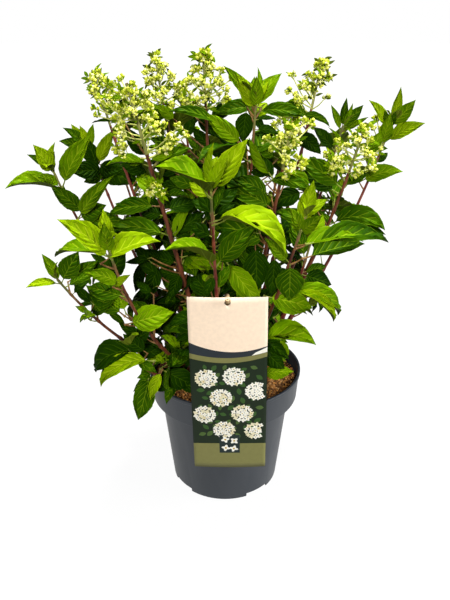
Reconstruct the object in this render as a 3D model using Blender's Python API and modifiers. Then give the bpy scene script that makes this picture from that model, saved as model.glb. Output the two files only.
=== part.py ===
"""Panicle hydrangea in its round nursery pot, at bud stage, with a hang label.

Blender units are metres and +Z is up. The origin is the centre of the pot's underside, and the
label hangs on the -Y side. The table of canes gives places in millimetres and turns in degrees.
"""
import math
import random
from collections import namedtuple

import bmesh
import bpy
from mathutils import Matrix, Vector
from mathutils.bvhtree import BVHTree

MM = 0.001
GAP = 0.3 * MM
UP = Vector((0, 0, 1))

# Pot: a 19 cm nursery pot with a deep stacking band under its rim
POT_SIDES = 32
POT_HEIGHT = 158 * MM
RIM_RADIUS = 95 * MM
LIP_HEIGHT = 4 * MM
LIP_PROUD = 1.4 * MM
BAND_HEIGHT = 35 * MM
BAND_FOOT_RADIUS = 91.5 * MM
SHOULDER_RADIUS = 81.5 * MM
SHOULDER_DROP = 1.5 * MM
BASE_RADIUS = 68.5 * MM
WALL = 1.7 * MM
FLOOR_RISE = 6 * MM
HUB_RADIUS = 13 * MM
NOTCHES = 4
NOTCH_WIDTH = 33 * MM
NOTCH_HEIGHT = 5 * MM
NOTCH_TURN = math.radians(37.5)
DRAIN_HOLES = 6
DRAIN_RADIUS = 4.5 * MM
DRAIN_RING = 46 * MM

# Growing medium, and the woody foot that stands on it
SOIL_TOP = 145 * MM
FOOT_RADIUS = 30 * MM
FOOT_TOP_RADIUS = 19 * MM
FOOT_HEIGHT = 13 * MM
SPUR_LENGTH = 26 * MM
SPUR_FLARE = (1.35, 1.1, 1.0)

# Canes: they leave the foot in a ring, and each rises faster towards its tip
CANE_RADIUS = 2.7 * MM
TIP_RADIUS = 1.15 * MM
ROOT_RING = 6 * MM
ROOT_SPREAD = 0.08
RISE = 0.3
STRIDE = 46 * MM
LEAFY_GAPS = (4 * MM, 20 * MM, 38 * MM, 42 * MM, STRIDE, STRIDE, STRIDE)
PLUME_GAPS = (8 * MM, 34 * MM, 40 * MM, STRIDE, STRIDE, STRIDE, STRIDE)
MASS_LEAD = 9 * MM
SHOOT_RADIUS = 1.5 * MM
SHOOT_TIP_RADIUS = 0.8 * MM
SHOOT_PAIRS = 3

# Leaves: opposite pairs, each pair turned a quarter from the one above
PETIOLE = 0.15
HALF_WIDTH = 0.245
LEAF_THICKNESS = 0.015
LEAF_STATIONS = (0.34, 0.7)
LEAF_FOLD = math.radians(14)
ROOT_SINK = 0.4 * MM
LEAF_SIZES = (0.6, 0.84, 0.98, 1.0, 0.98, 0.94, 0.9)
LEAF_ANGLES = (24, 40, 52, 60, 68, 76, 84)
LEAF_DROOPS = (22, 40, 52, 62, 70, 76, 80)
LEAF_CLEARANCE = 1.03
RETRIES = ((0, 0, 1), (16, 0, 1), (-16, 0, 1), (0, 14, 1), (0, -14, 0.95), (30, 8, 0.92),
           (-30, -8, 0.92), (0, 26, 0.82), (44, -16, 0.8), (-44, 16, 0.8))

# Plumes: whorls of side branches, each swelling into a head of buds
WHORLS = ((0.05, 4, 0.46, 64), (0.3, 3, 0.38, 56), (0.54, 3, 0.27, 48), (0.76, 2, 0.17, 38))
SMALL_PLUME = 30 * MM
BUD_HEAD = 0.1
BRANCH_RADIUS = 0.9 * MM
BRACT_LENGTH = 0.3

# Label: a stiff card that hangs on a pruned stub, rests on the rim and bends to follow the pot
LABEL_WIDTH = 85 * MM
LABEL_LENGTH = 232 * MM
LABEL_THICKNESS = 0.6 * MM
LABEL_TOP = 298 * MM
LABEL_CENTRE_X = 2.5 * MM
LABEL_SLANT = 0.015
LABEL_TILT = 0.079
LABEL_BEND = 0.31
LABEL_CUP = 2 * MM
LABEL_COLUMNS = 8
LABEL_ROWS = 3
LABEL_HOLE_RADIUS = 3.2 * MM
LABEL_HOLE_DROP = 6 * MM
STUB_RADIUS = 2.4 * MM
STUB_FOOT = 35 * MM
STUB_PROUD = 6 * MM
STUB_BEHIND = 12 * MM

Cane = namedtuple("Cane", "name tip sweep pairs leaf turn plume girth shoots", defaults=(0, 1.0, ()))
Shoot = namedtuple("Shoot", "node side length leaf plume")
Leaf = namedtuple("Leaf", "root heading face length droop")

CANES = (
    Cane("far_left", (-184, -22, 410), 0.62, 6, 76, 100),
    Cane("left_plume", (-146, 40, 509), 0.48, 6, 76, 20, 70),
    Cane("front_left_plume", (-96, -50, 505), 0.36, 6, 80, 0, 82, 1.3,
         (Shoot(0, 1, 34, 34, 24), Shoot(1, -1, 38, 36, 22))),
    Cane("back_left_plume", (-83, 100, 523), 0.45, 6, 74, 50, 60),
    Cane("mid_left_plume", (-55, 124, 488), 0.45, 6, 72, 80, 58),
    Cane("centre_plume", (-23, 22, 533), 0.5, 6, 78, 100, 66, 1.1),
    Cane("centre_leafy", (32, -14, 480), 0.5, 7, 80, 35),
    Cane("right_plume", (111, 70, 519), 0.5, 6, 78, 5, 66, 1.1),
    Cane("mid_right_plume", (65, -70, 472), 0.45, 5, 76, 10, 56, 1.1),
    Cane("right_low_plume", (148, -20, 462), 0.58, 5, 72, 10, 58, 1.1,
         (Shoot(0, -1, 30, 34, 22),)),
    Cane("far_right", (184, 22, 452), 0.62, 3, 68, 100),
    Cane("right_leafy", (138, 62, 444), 0.55, 6, 70, 60),
    Cane("front_right", (78, -106, 386), 0.5, 6, 76, 20),
    Cane("front_centre", (-13, -128, 418), 0.52, 6, 82, 75),
    Cane("front_left_low", (-114, -120, 362), 0.74, 5, 74, 125),
    Cane("front_left_far", (-170, -108, 322), 0.6, 2, 54, 60),
    Cane("left_leafy", (-164, 78, 418), 0.6, 6, 64, 100),
    Cane("mid_left_leafy", (-74, 0, 392), 0.6, 6, 74, 30),
    Cane("mid_right_leafy", (66, 28, 400), 0.6, 6, 74, 60),
    Cane("low_right", (92, -56, 344), 0.7, 4, 62, 50),
    Cane("low_left", (-104, -100, 240), 0.85, 3, 72, 150),
    Cane("back_centre", (40, 168, 430), 0.5, 6, 76, 45),
    Cane("back_right", (142, 142, 410), 0.6, 6, 76, 0),
    Cane("back_right_plume", (82, 122, 462), 0.45, 6, 72, 80, 58),
    Cane("back_left_low", (-142, 148, 390), 0.62, 6, 74, 30),
    Cane("back_low", (-40, 188, 374), 0.62, 6, 74, 10),
    Cane("back_far_right", (140, 98, 350), 0.7, 5, 68, 40),
)


def clear_scene():
    for obj in list(bpy.data.objects):
        bpy.data.objects.remove(obj)


def new_collection(name):
    collection = bpy.data.collections.new(name)
    bpy.context.scene.collection.children.link(collection)
    return collection


def material(name, colour, roughness):
    made = bpy.data.materials.new(name)
    made.use_nodes = True
    shader = made.node_tree.nodes["Principled BSDF"]
    shader.inputs["Base Color"].default_value = (*colour, 1)
    shader.inputs["Roughness"].default_value = roughness
    shader.inputs["Metallic"].default_value = 0
    return made


def add_object(name, mesh, finish, collection):
    obj = bpy.data.objects.new(name, mesh)
    obj.data.materials.append(finish)
    collection.objects.link(obj)
    return obj


def mesh_from(name, bm):
    """A mesh of this geometry with every face turned outwards."""
    mesh = bpy.data.meshes.new(name)
    bmesh.ops.recalc_face_normals(bm, faces=bm.faces)
    bm.to_mesh(mesh)
    bm.free()
    return mesh


def evaluated_mesh(obj):
    graph = bpy.context.evaluated_depsgraph_get()
    return bpy.data.meshes.new_from_object(obj.evaluated_get(graph))


def tube(name, points, radii, finish, collection, resolution=1):
    """A closed tapering limb along these points: four-sided at resolution 0, six-sided at 1."""
    curve = bpy.data.curves.new(name, "CURVE")
    curve.dimensions = "3D"
    curve.bevel_depth = 1
    curve.bevel_resolution = resolution
    curve.use_fill_caps = True
    spline = curve.splines.new("POLY")
    spline.points.add(len(points) - 1)
    for point, co, radius in zip(spline.points, points, radii):
        point.co = (*co, 1)
        point.radius = radius
    line = bpy.data.objects.new(name, curve)
    collection.objects.link(line)
    bm = bmesh.new()
    bm.from_mesh(evaluated_mesh(line))
    bpy.data.objects.remove(line)
    bmesh.ops.remove_doubles(bm, verts=bm.verts, dist=1e-6)
    return add_object(name, mesh_from(name, bm), finish, collection)


def keep_main_body(mesh):
    """Keeps the largest closed body. Loose scraps go, and so do the skins of sealed hollows."""
    bm = bmesh.new()
    bm.from_mesh(mesh)
    unseen, bodies = set(bm.verts), []
    while unseen:
        body, edge = set(), [unseen.pop()]
        while edge:
            vert = edge.pop()
            body.add(vert)
            for link in vert.link_edges:
                other = link.other_vert(vert)
                if other in unseen:
                    unseen.remove(other)
                    edge.append(other)
        bodies.append(body)
    bodies.sort(key=len, reverse=True)
    spare = [vert for body in bodies[1:] for vert in body]
    if spare:
        bmesh.ops.delete(bm, geom=spare, context="VERTS")
    bm.to_mesh(mesh)
    bm.free()


def fuse(host, parts):
    """Joins the parts to the host with one Boolean union on their collection, then removes them."""
    loose = new_collection(host.name + "_parts")
    for part in parts:
        for owner in list(part.users_collection):
            owner.objects.unlink(part)
        loose.objects.link(part)
    join = host.modifiers.new("join", "BOOLEAN")
    join.operation = "UNION"
    join.operand_type = "COLLECTION"
    join.collection = loose
    join.solver = "EXACT"
    joined = evaluated_mesh(host)
    host.modifiers.clear()
    host.data = joined
    keep_main_body(joined)
    for part in parts:
        bpy.data.objects.remove(part)
    bpy.data.collections.remove(loose)


def cut(host, cutters):
    """Cuts these closed meshes out of the host. They stay in the file as hidden helpers."""
    for cutter in cutters:
        cutter.hide_render = True
        cutter.display_type = "WIRE"
        difference = host.modifiers.new(cutter.name, "BOOLEAN")
        difference.operation = "DIFFERENCE"
        difference.object = cutter


def turned(name, profile, finish, collection):
    """A turned solid: the profile starts and ends on the Z axis, and runs down its outer side."""
    bm = bmesh.new()
    verts = [bm.verts.new((radius, 0, height)) for radius, height in profile]
    for first, second in zip(verts, verts[1:]):
        bm.edges.new((first, second))
    mesh = bpy.data.meshes.new(name)
    bm.to_mesh(mesh)
    bm.free()
    obj = add_object(name, mesh, finish, collection)
    screw = obj.modifiers.new("turn", "SCREW")
    screw.steps = screw.render_steps = POT_SIDES
    screw.use_merge_vertices = True
    screw.merge_threshold = 0.00001
    return obj


def body_radius(height):
    """Outer radius of the pot's tapering body, below its shoulder."""
    shoulder = POT_HEIGHT - BAND_HEIGHT - SHOULDER_DROP
    return BASE_RADIUS + (SHOULDER_RADIUS - BASE_RADIUS) * height / shoulder


def pot_inside(clearance):
    """The pot's inner outline from its floor to its rim, moved inwards by the clearance."""
    shoulder = POT_HEIGHT - BAND_HEIGHT
    floor = FLOOR_RISE + WALL
    return [
        (body_radius(floor) - WALL - clearance, floor + clearance),
        (SHOULDER_RADIUS - WALL - clearance, shoulder + clearance),
        (BAND_FOOT_RADIUS - WALL - clearance, shoulder + WALL + clearance),
        (RIM_RADIUS - LIP_PROUD - WALL - clearance, POT_HEIGHT),
    ]


def build_pot(finish, collection, helpers):
    """The pot stands on a ring with four notches and on a flat hub in the middle of its floor."""
    inside = pot_inside(0)
    foot_inner = BASE_RADIUS - WALL
    profile = [(0, inside[0][1])] + inside + [
        (RIM_RADIUS, POT_HEIGHT),
        (RIM_RADIUS, POT_HEIGHT - LIP_HEIGHT),
        (RIM_RADIUS - LIP_PROUD, POT_HEIGHT - LIP_HEIGHT - LIP_PROUD / 2),
        (BAND_FOOT_RADIUS, POT_HEIGHT - BAND_HEIGHT),
        (SHOULDER_RADIUS, POT_HEIGHT - BAND_HEIGHT - SHOULDER_DROP),
        (BASE_RADIUS, 0),
        (foot_inner, 0),
        (foot_inner, FLOOR_RISE),
        (HUB_RADIUS, FLOOR_RISE),
        (HUB_RADIUS, 0),
        (0, 0),
    ]
    pot = turned("pot", profile, finish, collection)
    cutters = []
    for i in range(NOTCHES):
        bm = bmesh.new()
        bmesh.ops.create_cube(bm, size=1)
        bmesh.ops.scale(bm, vec=(14 * MM, NOTCH_WIDTH, 2 * NOTCH_HEIGHT), verts=bm.verts)
        bmesh.ops.translate(bm, vec=(BASE_RADIUS, 0, 0), verts=bm.verts)
        turn = Matrix.Rotation(NOTCH_TURN + i * math.tau / NOTCHES, 3, "Z")
        bmesh.ops.rotate(bm, matrix=turn, verts=bm.verts)
        cutters.append(add_object(f"notch_{i}", mesh_from("notch", bm), finish, helpers))
    for i in range(DRAIN_HOLES):
        angle = (i + 0.5) * math.tau / DRAIN_HOLES
        bm = bmesh.new()
        bmesh.ops.create_cone(bm, cap_ends=True, segments=10, radius1=DRAIN_RADIUS,
                              radius2=DRAIN_RADIUS, depth=6 * WALL)
        place = (DRAIN_RING * math.cos(angle), DRAIN_RING * math.sin(angle), FLOOR_RISE)
        bmesh.ops.translate(bm, vec=place, verts=bm.verts)
        cutters.append(add_object(f"drain_{i}", mesh_from("drain", bm), finish, helpers))
    cut(pot, cutters)
    return pot


def build_soil(finish, collection):
    """The growing medium fills the pot to below its rim, a hair clear of the wall."""
    outline = pot_inside(GAP)
    low, high = outline[2], outline[3]
    share = (SOIL_TOP - low[1]) / (high[1] - low[1])
    edge = (low[0] + share * (high[0] - low[0]), SOIL_TOP)
    profile = [(0, SOIL_TOP), edge, outline[2], outline[1], outline[0], (0, outline[0][1])]
    return turned("soil", profile, finish, collection)


def label_point(x, z):
    """A point of the label's middle surface, which rests on the rim and bends in below it."""
    above = z - (POT_HEIGHT - LIP_HEIGHT)
    lean = RIM_RADIUS + LABEL_THICKNESS / 2 + GAP + LABEL_TILT * above - LABEL_BEND * above ** 2
    middle = LABEL_CENTRE_X + LABEL_SLANT * (LABEL_TOP - z)
    return Vector((middle + x, LABEL_CUP * (2 * x / LABEL_WIDTH) ** 2 - lean, z))


def build_label(card, dry, plant, helpers):
    """The card with its hole, and the pruned stub from the soil that passes through the hole."""
    bm = bmesh.new()
    bmesh.ops.create_grid(bm, x_segments=LABEL_COLUMNS, y_segments=LABEL_ROWS, size=0.5)
    for vert in bm.verts:
        drop = (0.5 - vert.co.y) * LABEL_LENGTH
        vert.co = label_point(vert.co.x * LABEL_WIDTH, LABEL_TOP - drop)
    mesh = bpy.data.meshes.new("label")
    bm.to_mesh(mesh)
    bm.free()
    label = add_object("label", mesh, card, plant)
    sheet = label.modifiers.new("card", "SOLIDIFY")
    sheet.thickness = LABEL_THICKNESS
    sheet.offset = 0
    hole = label_point(0, LABEL_TOP - LABEL_HOLE_DROP)
    bm = bmesh.new()
    bmesh.ops.create_cone(bm, cap_ends=True, segments=12, radius1=LABEL_HOLE_RADIUS,
                          radius2=LABEL_HOLE_RADIUS, depth=12 * MM)
    bmesh.ops.rotate(bm, matrix=Matrix.Rotation(math.pi / 2, 3, "X"), verts=bm.verts)
    bmesh.ops.translate(bm, vec=hole, verts=bm.verts)
    cut(label, [add_object("label_hole", mesh_from("label_hole", bm), card, helpers)])
    foot = Vector((hole.x, -STUB_FOOT, SOIL_TOP + GAP))
    behind = hole + Vector((0, STUB_BEHIND, 0))
    axis = Axis(foot + UP * 6 * MM, Vector((hole.x, -1.3 * STUB_FOOT, hole.z)), behind)
    points = [foot] + [axis.at(axis.length * i / 6) for i in range(7)]
    points.append(hole - Vector((0, STUB_PROUD, 0)))
    stub = tube("pruned_stub", points, [STUB_RADIUS] * len(points), dry, plant)
    return label, stub


class Axis:
    """The line of a stem: an even curve from its start, drawn towards its bend, to its end."""

    STEPS = 48

    def __init__(self, start, bend, end):
        self.points, self.lengths = [], [0.0]
        for i in range(self.STEPS + 1):
            t = i / self.STEPS
            self.points.append(start * (1 - t) ** 2 + bend * 2 * t * (1 - t) + end * t ** 2)
        for first, second in zip(self.points, self.points[1:]):
            self.lengths.append(self.lengths[-1] + (second - first).length)
        self.length = self.lengths[-1]

    def at(self, along):
        i = 0
        while i < self.STEPS - 1 and along > self.lengths[i + 1]:
            i += 1
        share = (along - self.lengths[i]) / (self.lengths[i + 1] - self.lengths[i])
        return self.points[i].lerp(self.points[i + 1], share)

    def heading(self, along):
        step = 2 * MM
        low, high = max(along - step, 0), min(along + step, self.length)
        return (self.at(high) - self.at(low)).normalized()


def cane_axis(cane):
    tip = Vector(cane.tip) * MM
    outward = Vector((tip.x, tip.y, 0))
    foot = outward.normalized() * (ROOT_RING + ROOT_SPREAD * outward.length)
    foot.z = SOIL_TOP + 4 * MM
    bend = foot + (tip - foot) * cane.sweep
    bend.z = foot.z + (tip.z - foot.z) * RISE
    return Axis(foot, bend, tip)


def stretch(cane, axis, start, end, steps):
    """Points and radii of a cane between two places along it."""
    along = [start + (end - start) * i / steps for i in range(steps + 1)]
    taper = [CANE_RADIUS + (TIP_RADIUS - CANE_RADIUS) * s / axis.length for s in along]
    return [axis.at(s) for s in along], [radius * cane.girth for radius in taper]


def node_places(axis, pairs, plume, lowest):
    """How far along the stem each leaf pair sits, from the top pair down."""
    places, here = [], axis.length - plume
    for gap in (PLUME_GAPS if plume else LEAFY_GAPS)[:pairs]:
        here -= gap
        if here > lowest:
            places.append(here)
    return places


def across(stem, azimuth):
    """The direction square to the stem that points nearest to this compass azimuth."""
    flat = Vector((math.cos(azimuth), math.sin(azimuth), 0))
    return (flat - stem * flat.dot(stem)).normalized()


def shoot_axis(axis, place, shoot, azimuth):
    """A side shoot leaves its node beside a leaf of the pair, and bends upwards."""
    root, stem = axis.at(place + MM), axis.heading(place + MM)
    side = across(stem, azimuth) * shoot.side
    half = shoot.length * MM / 2
    bend = root + (stem * 0.45 + side * 0.9).normalized() * half
    return Axis(root, bend, bend + (UP * 0.75 + side * 0.55 + stem * 0.3).normalized() * half)


def plan_leaf(root, stem, azimuth, angle, length, droop, roll):
    """A leaf that leaves the stem at this angle, its upper face to the stem, sky and outside."""
    side = across(stem, azimuth)
    heading = stem * math.cos(angle) + side * math.sin(angle)
    outward = Vector((root.x, root.y, 0)).normalized()
    face = stem * math.sin(angle) - side * math.cos(angle) + UP * 0.35 + outward * 0.45
    face = (face - heading * face.dot(heading)).normalized()
    face = Matrix.Rotation(roll, 3, heading) @ face
    return Leaf(root, heading, face, length, droop)


def leaf_tries(cane, rank, side, root, stem, azimuth, size):
    """The leaf as the rule has it, then the ways it may be turned or shortened to fit."""
    draw = random.Random(f"{cane} {rank} {side}")
    sway, lift, grow, bend, roll = (draw.uniform(-1, 1) for _ in range(5))
    order = min(rank, len(LEAF_SIZES) - 1)
    for turn, tip_down, shrink in RETRIES:
        yield plan_leaf(
            root, stem, azimuth + math.radians(turn + 12 * sway),
            math.radians(LEAF_ANGLES[order] + tip_down + 8 * lift),
            size * LEAF_SIZES[order] * shrink * (1 + 0.1 * grow),
            math.radians(LEAF_DROOPS[order] + 14 * bend), math.radians(20 * roll))


def leaf_width(share):
    """Half the blade's width at this share of its length, as a share of the widest."""
    return 3.395 * share ** 0.75 * (1 - share) ** 1.05


def leaf_frames(leaf, stations):
    """Midrib point, heading and upper face at each station of the blade, which bends as it goes."""
    side = leaf.heading.cross(leaf.face)
    point = leaf.root + leaf.heading * leaf.length * PETIOLE
    blade = leaf.length * (1 - PETIOLE)
    frames, done = [(point.copy(), leaf.heading, leaf.face)], 0.0
    for station in stations:
        middle = Matrix.Rotation(-leaf.droop * (done + station) / 2, 3, side)
        point = point + middle @ leaf.heading * blade * (station - done)
        turn = Matrix.Rotation(-leaf.droop * station, 3, side)
        frames.append((point.copy(), turn @ leaf.heading, turn @ leaf.face))
        done = station
    return frames


def leaf_mesh(leaf, whole=True):
    """A closed blade of lens section, folded along its midrib, drawn out to a root in the stem."""
    frames = leaf_frames(leaf, (*LEAF_STATIONS, 1.0))
    thick = leaf.length * LEAF_THICKNESS
    bm = bmesh.new()
    rings = []
    for share, (point, heading, face) in zip(LEAF_STATIONS, frames[1:]):
        half = leaf_width(share) * HALF_WIDTH * leaf.length
        side = heading.cross(face)
        rise = face * half * math.sin(LEAF_FOLD)
        spread = side * half * math.cos(LEAF_FOLD)
        corners = (point - spread + rise, point - face * thick / 2,
                   point + spread + rise, point + face * thick / 2)
        rings.append([bm.verts.new(corner) for corner in corners])
    root = bm.verts.new(leaf.root + leaf.heading * ROOT_SINK if whole else frames[0][0])
    tip = bm.verts.new(frames[-1][0])
    for i in range(4):
        j = (i + 1) % 4
        bm.faces.new((root, rings[0][j], rings[0][i]))
        bm.faces.new((rings[0][i], rings[0][j], rings[1][j], rings[1][i]))
        bm.faces.new((rings[1][i], rings[1][j], tip))
    return mesh_from("leaf", bm)


def spindle(root, end, stations):
    """A closed four-sided spindle from root to end, this wide at each station along it."""
    line = end - root
    side = line.cross(UP).normalized()
    up = side.cross(line).normalized()
    bm = bmesh.new()
    first, last = bm.verts.new(root), bm.verts.new(end)
    rings = []
    for share, half in stations:
        middle = root + line * share
        corners = (middle + side * half, middle + up * half, middle - side * half, middle - up * half)
        rings.append([bm.verts.new(corner) for corner in corners])
    for i in range(4):
        j = (i + 1) % 4
        bm.faces.new((first, rings[0][i], rings[0][j]))
        for one, two in zip(rings, rings[1:]):
            bm.faces.new((one[i], two[i], two[j], one[j]))
        bm.faces.new((last, rings[-1][j], rings[-1][i]))
    return mesh_from("spindle", bm)


def plume_parts(seed, axis, plume):
    """The side branches with their bud heads, and the bracts, on the last stretch of a stem."""
    draw = random.Random(seed)
    head = plume * BUD_HEAD
    top, rise = axis.at(axis.length), axis.heading(axis.length)
    parts = [spindle(top - rise * head, top + rise * head, ((0.5, head * 0.7),))]
    turn = draw.uniform(0, math.tau)
    whorls = WHORLS if plume > SMALL_PLUME else WHORLS[1:]
    for level, (share, count, reach, angle) in enumerate(whorls):
        along = axis.length - plume * (1 - share)
        root, stem = axis.at(along), axis.heading(along)
        for i in range(count):
            side = across(stem, turn + (i + 0.5 * level) * math.tau / count + draw.uniform(-0.2, 0.2))
            lean = math.radians(angle)
            heading = (stem * math.cos(lean) + side * math.sin(lean)).normalized()
            length = plume * reach * draw.uniform(0.9, 1.12)
            swell = 1 - 1.3 * head / length
            stations = ((swell * 0.75, BRANCH_RADIUS), (swell + 0.12, head))[level > 2:]
            start, end = root + heading * ROOT_SINK, root + heading * (length + head)
            parts.append(spindle(start, end, stations))
            if level < 2 and i % 2:
                low = (heading - stem * 0.5).normalized()
                bract = plume * BRACT_LENGTH
                parts.append(spindle(root + low * ROOT_SINK, root + low * bract,
                                     ((0.5, bract * 0.11),)))
    return parts


class Crowd:
    """What already stands, so that a new twig or leaf can be kept clear of it."""

    def __init__(self):
        self.standing = []

    @staticmethod
    def outline(mesh, spread):
        points = [vert.co.copy() for vert in mesh.vertices]
        centre = sum(points, Vector()) / len(points)
        points = [centre + (point - centre) * spread for point in points]
        tree = BVHTree.FromPolygons(points, [tuple(face.vertices) for face in mesh.polygons])
        low = [min(point[i] for point in points) for i in range(3)]
        high = [max(point[i] for point in points) for i in range(3)]
        return tree, low, high

    def add(self, owner, mesh):
        self.standing.append((owner, *self.outline(mesh, 1)))

    def hits(self, mesh, skip=None, only=None):
        """Whether the mesh touches anything that stands, or only what this owner has."""
        tree, low, high = self.outline(mesh, LEAF_CLEARANCE)
        for owner, other, other_low, other_high in self.standing:
            if owner == skip or (only and owner != only):
                continue
            if all(low[i] < other_high[i] and high[i] > other_low[i] for i in range(3)):
                if tree.overlap(other):
                    return True
        return False


class Grown:
    """One cane with its stem, side shoots and leaves, planned before anything is fused."""

    def __init__(self, cane, bark, plant):
        self.cane = cane
        self.axis = cane_axis(cane)
        self.plume = cane.plume * MM
        lowest = SPUR_LENGTH + 2 * MASS_LEAD
        self.places = node_places(self.axis, cane.pairs, self.plume, lowest)
        split = self.places[-1] - MASS_LEAD
        points, radii = stretch(cane, self.axis, SPUR_LENGTH + GAP, split - GAP, 3)
        self.bough = tube("bough_" + cane.name, points, radii, bark, plant)
        points, radii = stretch(cane, self.axis, split, self.axis.length, 5)
        self.mass = tube("foliage_" + cane.name, points, radii, bark, plant, resolution=0)
        self.pieces = []
        self.shoots = []

    def azimuth(self, rank):
        return math.radians(self.cane.turn) + rank * math.pi / 2

    def keep(self, crowd, mesh):
        """Takes the piece if it is clear of every other mass, limb, pot and label."""
        if crowd.hits(mesh, skip=self.cane.name):
            return False
        crowd.add(self.cane.name, mesh)
        self.pieces.append(mesh)
        return True

    def add_plumes(self, crowd):
        if self.plume:
            for mesh in plume_parts(self.cane.name + " plume", self.axis, self.plume):
                self.keep(crowd, mesh)

    def add_shoots(self, crowd, bark, plant):
        for shoot in self.cane.shoots:
            azimuth = self.azimuth(shoot.node)
            axis = shoot_axis(self.axis, self.places[shoot.node], shoot, azimuth)
            points = [axis.at(axis.length * i / 3) for i in range(4)]
            radii = [SHOOT_RADIUS + (SHOOT_TIP_RADIUS - SHOOT_RADIUS) * i / 3 for i in range(4)]
            twig = tube("shoot", points, radii, bark, plant, resolution=0)
            mesh = twig.data
            bpy.data.objects.remove(twig)
            if self.keep(crowd, mesh):
                self.shoots.append((shoot, axis, azimuth))
                seed = f"{self.cane.name} shoot {shoot.node}"
                for part in plume_parts(seed, axis, shoot.plume * MM):
                    self.keep(crowd, part)

    def add_pair(self, crowd, label, rank, axis, along, azimuth, size):
        """Two opposite leaves, each in the first of its tries that is clear, or left out."""
        root, stem = axis.at(along), axis.heading(along)
        for side in (0, 1):
            tries = leaf_tries(label, rank, side, root, stem, azimuth + side * math.pi, size)
            for leaf in tries:
                blade = leaf_mesh(leaf, whole=False)
                if not crowd.hits(blade, only=self.cane.name) and self.keep(crowd, leaf_mesh(leaf)):
                    break

    def add_leaves(self, crowd, rank):
        if rank < len(self.places):
            order = rank + 1 if self.plume else rank
            self.add_pair(crowd, self.cane.name, order, self.axis, self.places[rank],
                          self.azimuth(rank), self.cane.leaf * MM)

    def add_shoot_leaves(self, crowd):
        for shoot, axis, azimuth in self.shoots:
            label = f"{self.cane.name} shoot {shoot.node}"
            places = node_places(axis, SHOOT_PAIRS, shoot.plume * MM, 8 * MM)
            for rank, along in enumerate(places, 1):
                self.add_pair(crowd, label, rank, axis, along, azimuth + rank * math.pi / 2,
                              shoot.leaf * MM)


def build_foot(grown, wood, plant):
    """The woody foot: a low mound on the growing medium, with a spur for every cane fused on."""
    bm = bmesh.new()
    bmesh.ops.create_cone(bm, cap_ends=True, segments=14, radius1=FOOT_RADIUS,
                          radius2=FOOT_TOP_RADIUS, depth=FOOT_HEIGHT)
    bmesh.ops.translate(bm, vec=(0, 0, SOIL_TOP + GAP + FOOT_HEIGHT / 2), verts=bm.verts)
    foot = add_object("woody_foot", mesh_from("woody_foot", bm), wood, plant)
    spurs = []
    for one in grown:
        points, radii = stretch(one.cane, one.axis, 0, SPUR_LENGTH, len(SPUR_FLARE) - 1)
        radii = [radius * flare for radius, flare in zip(radii, SPUR_FLARE)]
        spurs.append(tube("spur", points, radii, wood, plant))
    fuse(foot, spurs)


def main():
    clear_scene()
    plant = new_collection("potted_panicle_hydrangea")
    helpers = new_collection("cutters")
    plastic = material("slate_grey_plastic", (0.066, 0.074, 0.09), 0.42)
    peat = material("bark_and_peat", (0.09, 0.043, 0.022), 0.95)
    wood = material("old_brown_wood", (0.14, 0.075, 0.045), 0.8)
    bark = material("red_brown_bark", (0.2, 0.062, 0.04), 0.6)
    green = material("hydrangea_leaf", (0.1, 0.24, 0.02), 0.45)
    card = material("label_card", (0.85, 0.76, 0.62), 0.5)
    dry = material("dry_cut_wood", (0.6, 0.47, 0.31), 0.8)

    pot = build_pot(plastic, plant, helpers)
    build_soil(peat, plant)
    label, stub = build_label(card, dry, plant, helpers)
    crowd = Crowd()
    for made in (pot, label, stub):
        crowd.add(made.name, evaluated_mesh(made))
    grown = [Grown(cane, bark, plant) for cane in CANES]
    for one in grown:
        crowd.add(one.cane.name, one.bough.data)
        crowd.add(one.cane.name, one.mass.data)
    for one in grown:
        one.add_plumes(crowd)
    for one in grown:
        one.add_shoots(crowd, bark, plant)
    for rank in range(max(cane.pairs for cane in CANES)):
        for one in grown:
            one.add_leaves(crowd, rank)
    for one in grown:
        one.add_shoot_leaves(crowd)

    build_foot(grown, wood, plant)
    for one in grown:
        pieces = [add_object(f"piece_{i}", mesh, green, plant) for i, mesh in enumerate(one.pieces)]
        fuse(one.mass, pieces)


main()
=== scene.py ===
import math
import random
from collections import namedtuple

import bmesh
import bpy
import numpy as np
from mathutils import Matrix, Vector, kdtree, noise


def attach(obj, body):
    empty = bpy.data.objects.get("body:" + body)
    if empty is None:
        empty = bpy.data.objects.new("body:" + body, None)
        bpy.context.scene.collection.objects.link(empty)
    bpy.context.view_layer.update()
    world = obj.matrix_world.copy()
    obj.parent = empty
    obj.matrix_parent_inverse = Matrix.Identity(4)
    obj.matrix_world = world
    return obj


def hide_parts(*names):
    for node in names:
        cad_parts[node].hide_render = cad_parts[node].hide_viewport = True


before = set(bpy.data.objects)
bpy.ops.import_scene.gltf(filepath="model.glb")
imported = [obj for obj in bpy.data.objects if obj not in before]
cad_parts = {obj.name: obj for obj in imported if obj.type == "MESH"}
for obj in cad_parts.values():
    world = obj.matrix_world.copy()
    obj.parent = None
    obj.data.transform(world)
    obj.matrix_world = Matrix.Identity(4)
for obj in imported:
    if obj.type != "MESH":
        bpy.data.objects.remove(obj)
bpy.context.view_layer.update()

# Pot
# A 19 cm nursery pot, injection moulded in slate-grey plastic with a fine satin grain. A deep
# stacking band runs under its lip, and it stands on a foot ring that has four drainage notches.
MM = 0.001
POT_STEPS = 96
POT_HEIGHT = 158 * MM
RIM_RADIUS = 95 * MM
LIP_HEIGHT = 4 * MM
LIP_PROUD = 1.4 * MM
BAND_HEIGHT = 35 * MM
BAND_FOOT_RADIUS = 91.5 * MM
SHOULDER_RADIUS = 81.5 * MM
SHOULDER_DROP = 1.5 * MM
BASE_RADIUS = 68.5 * MM
WALL = 1.7 * MM
FLOOR_RISE = 6 * MM
HUB_RADIUS = 13 * MM
NOTCHES = 4
NOTCH_WIDTH = 33 * MM
NOTCH_HEIGHT = 5 * MM
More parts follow.
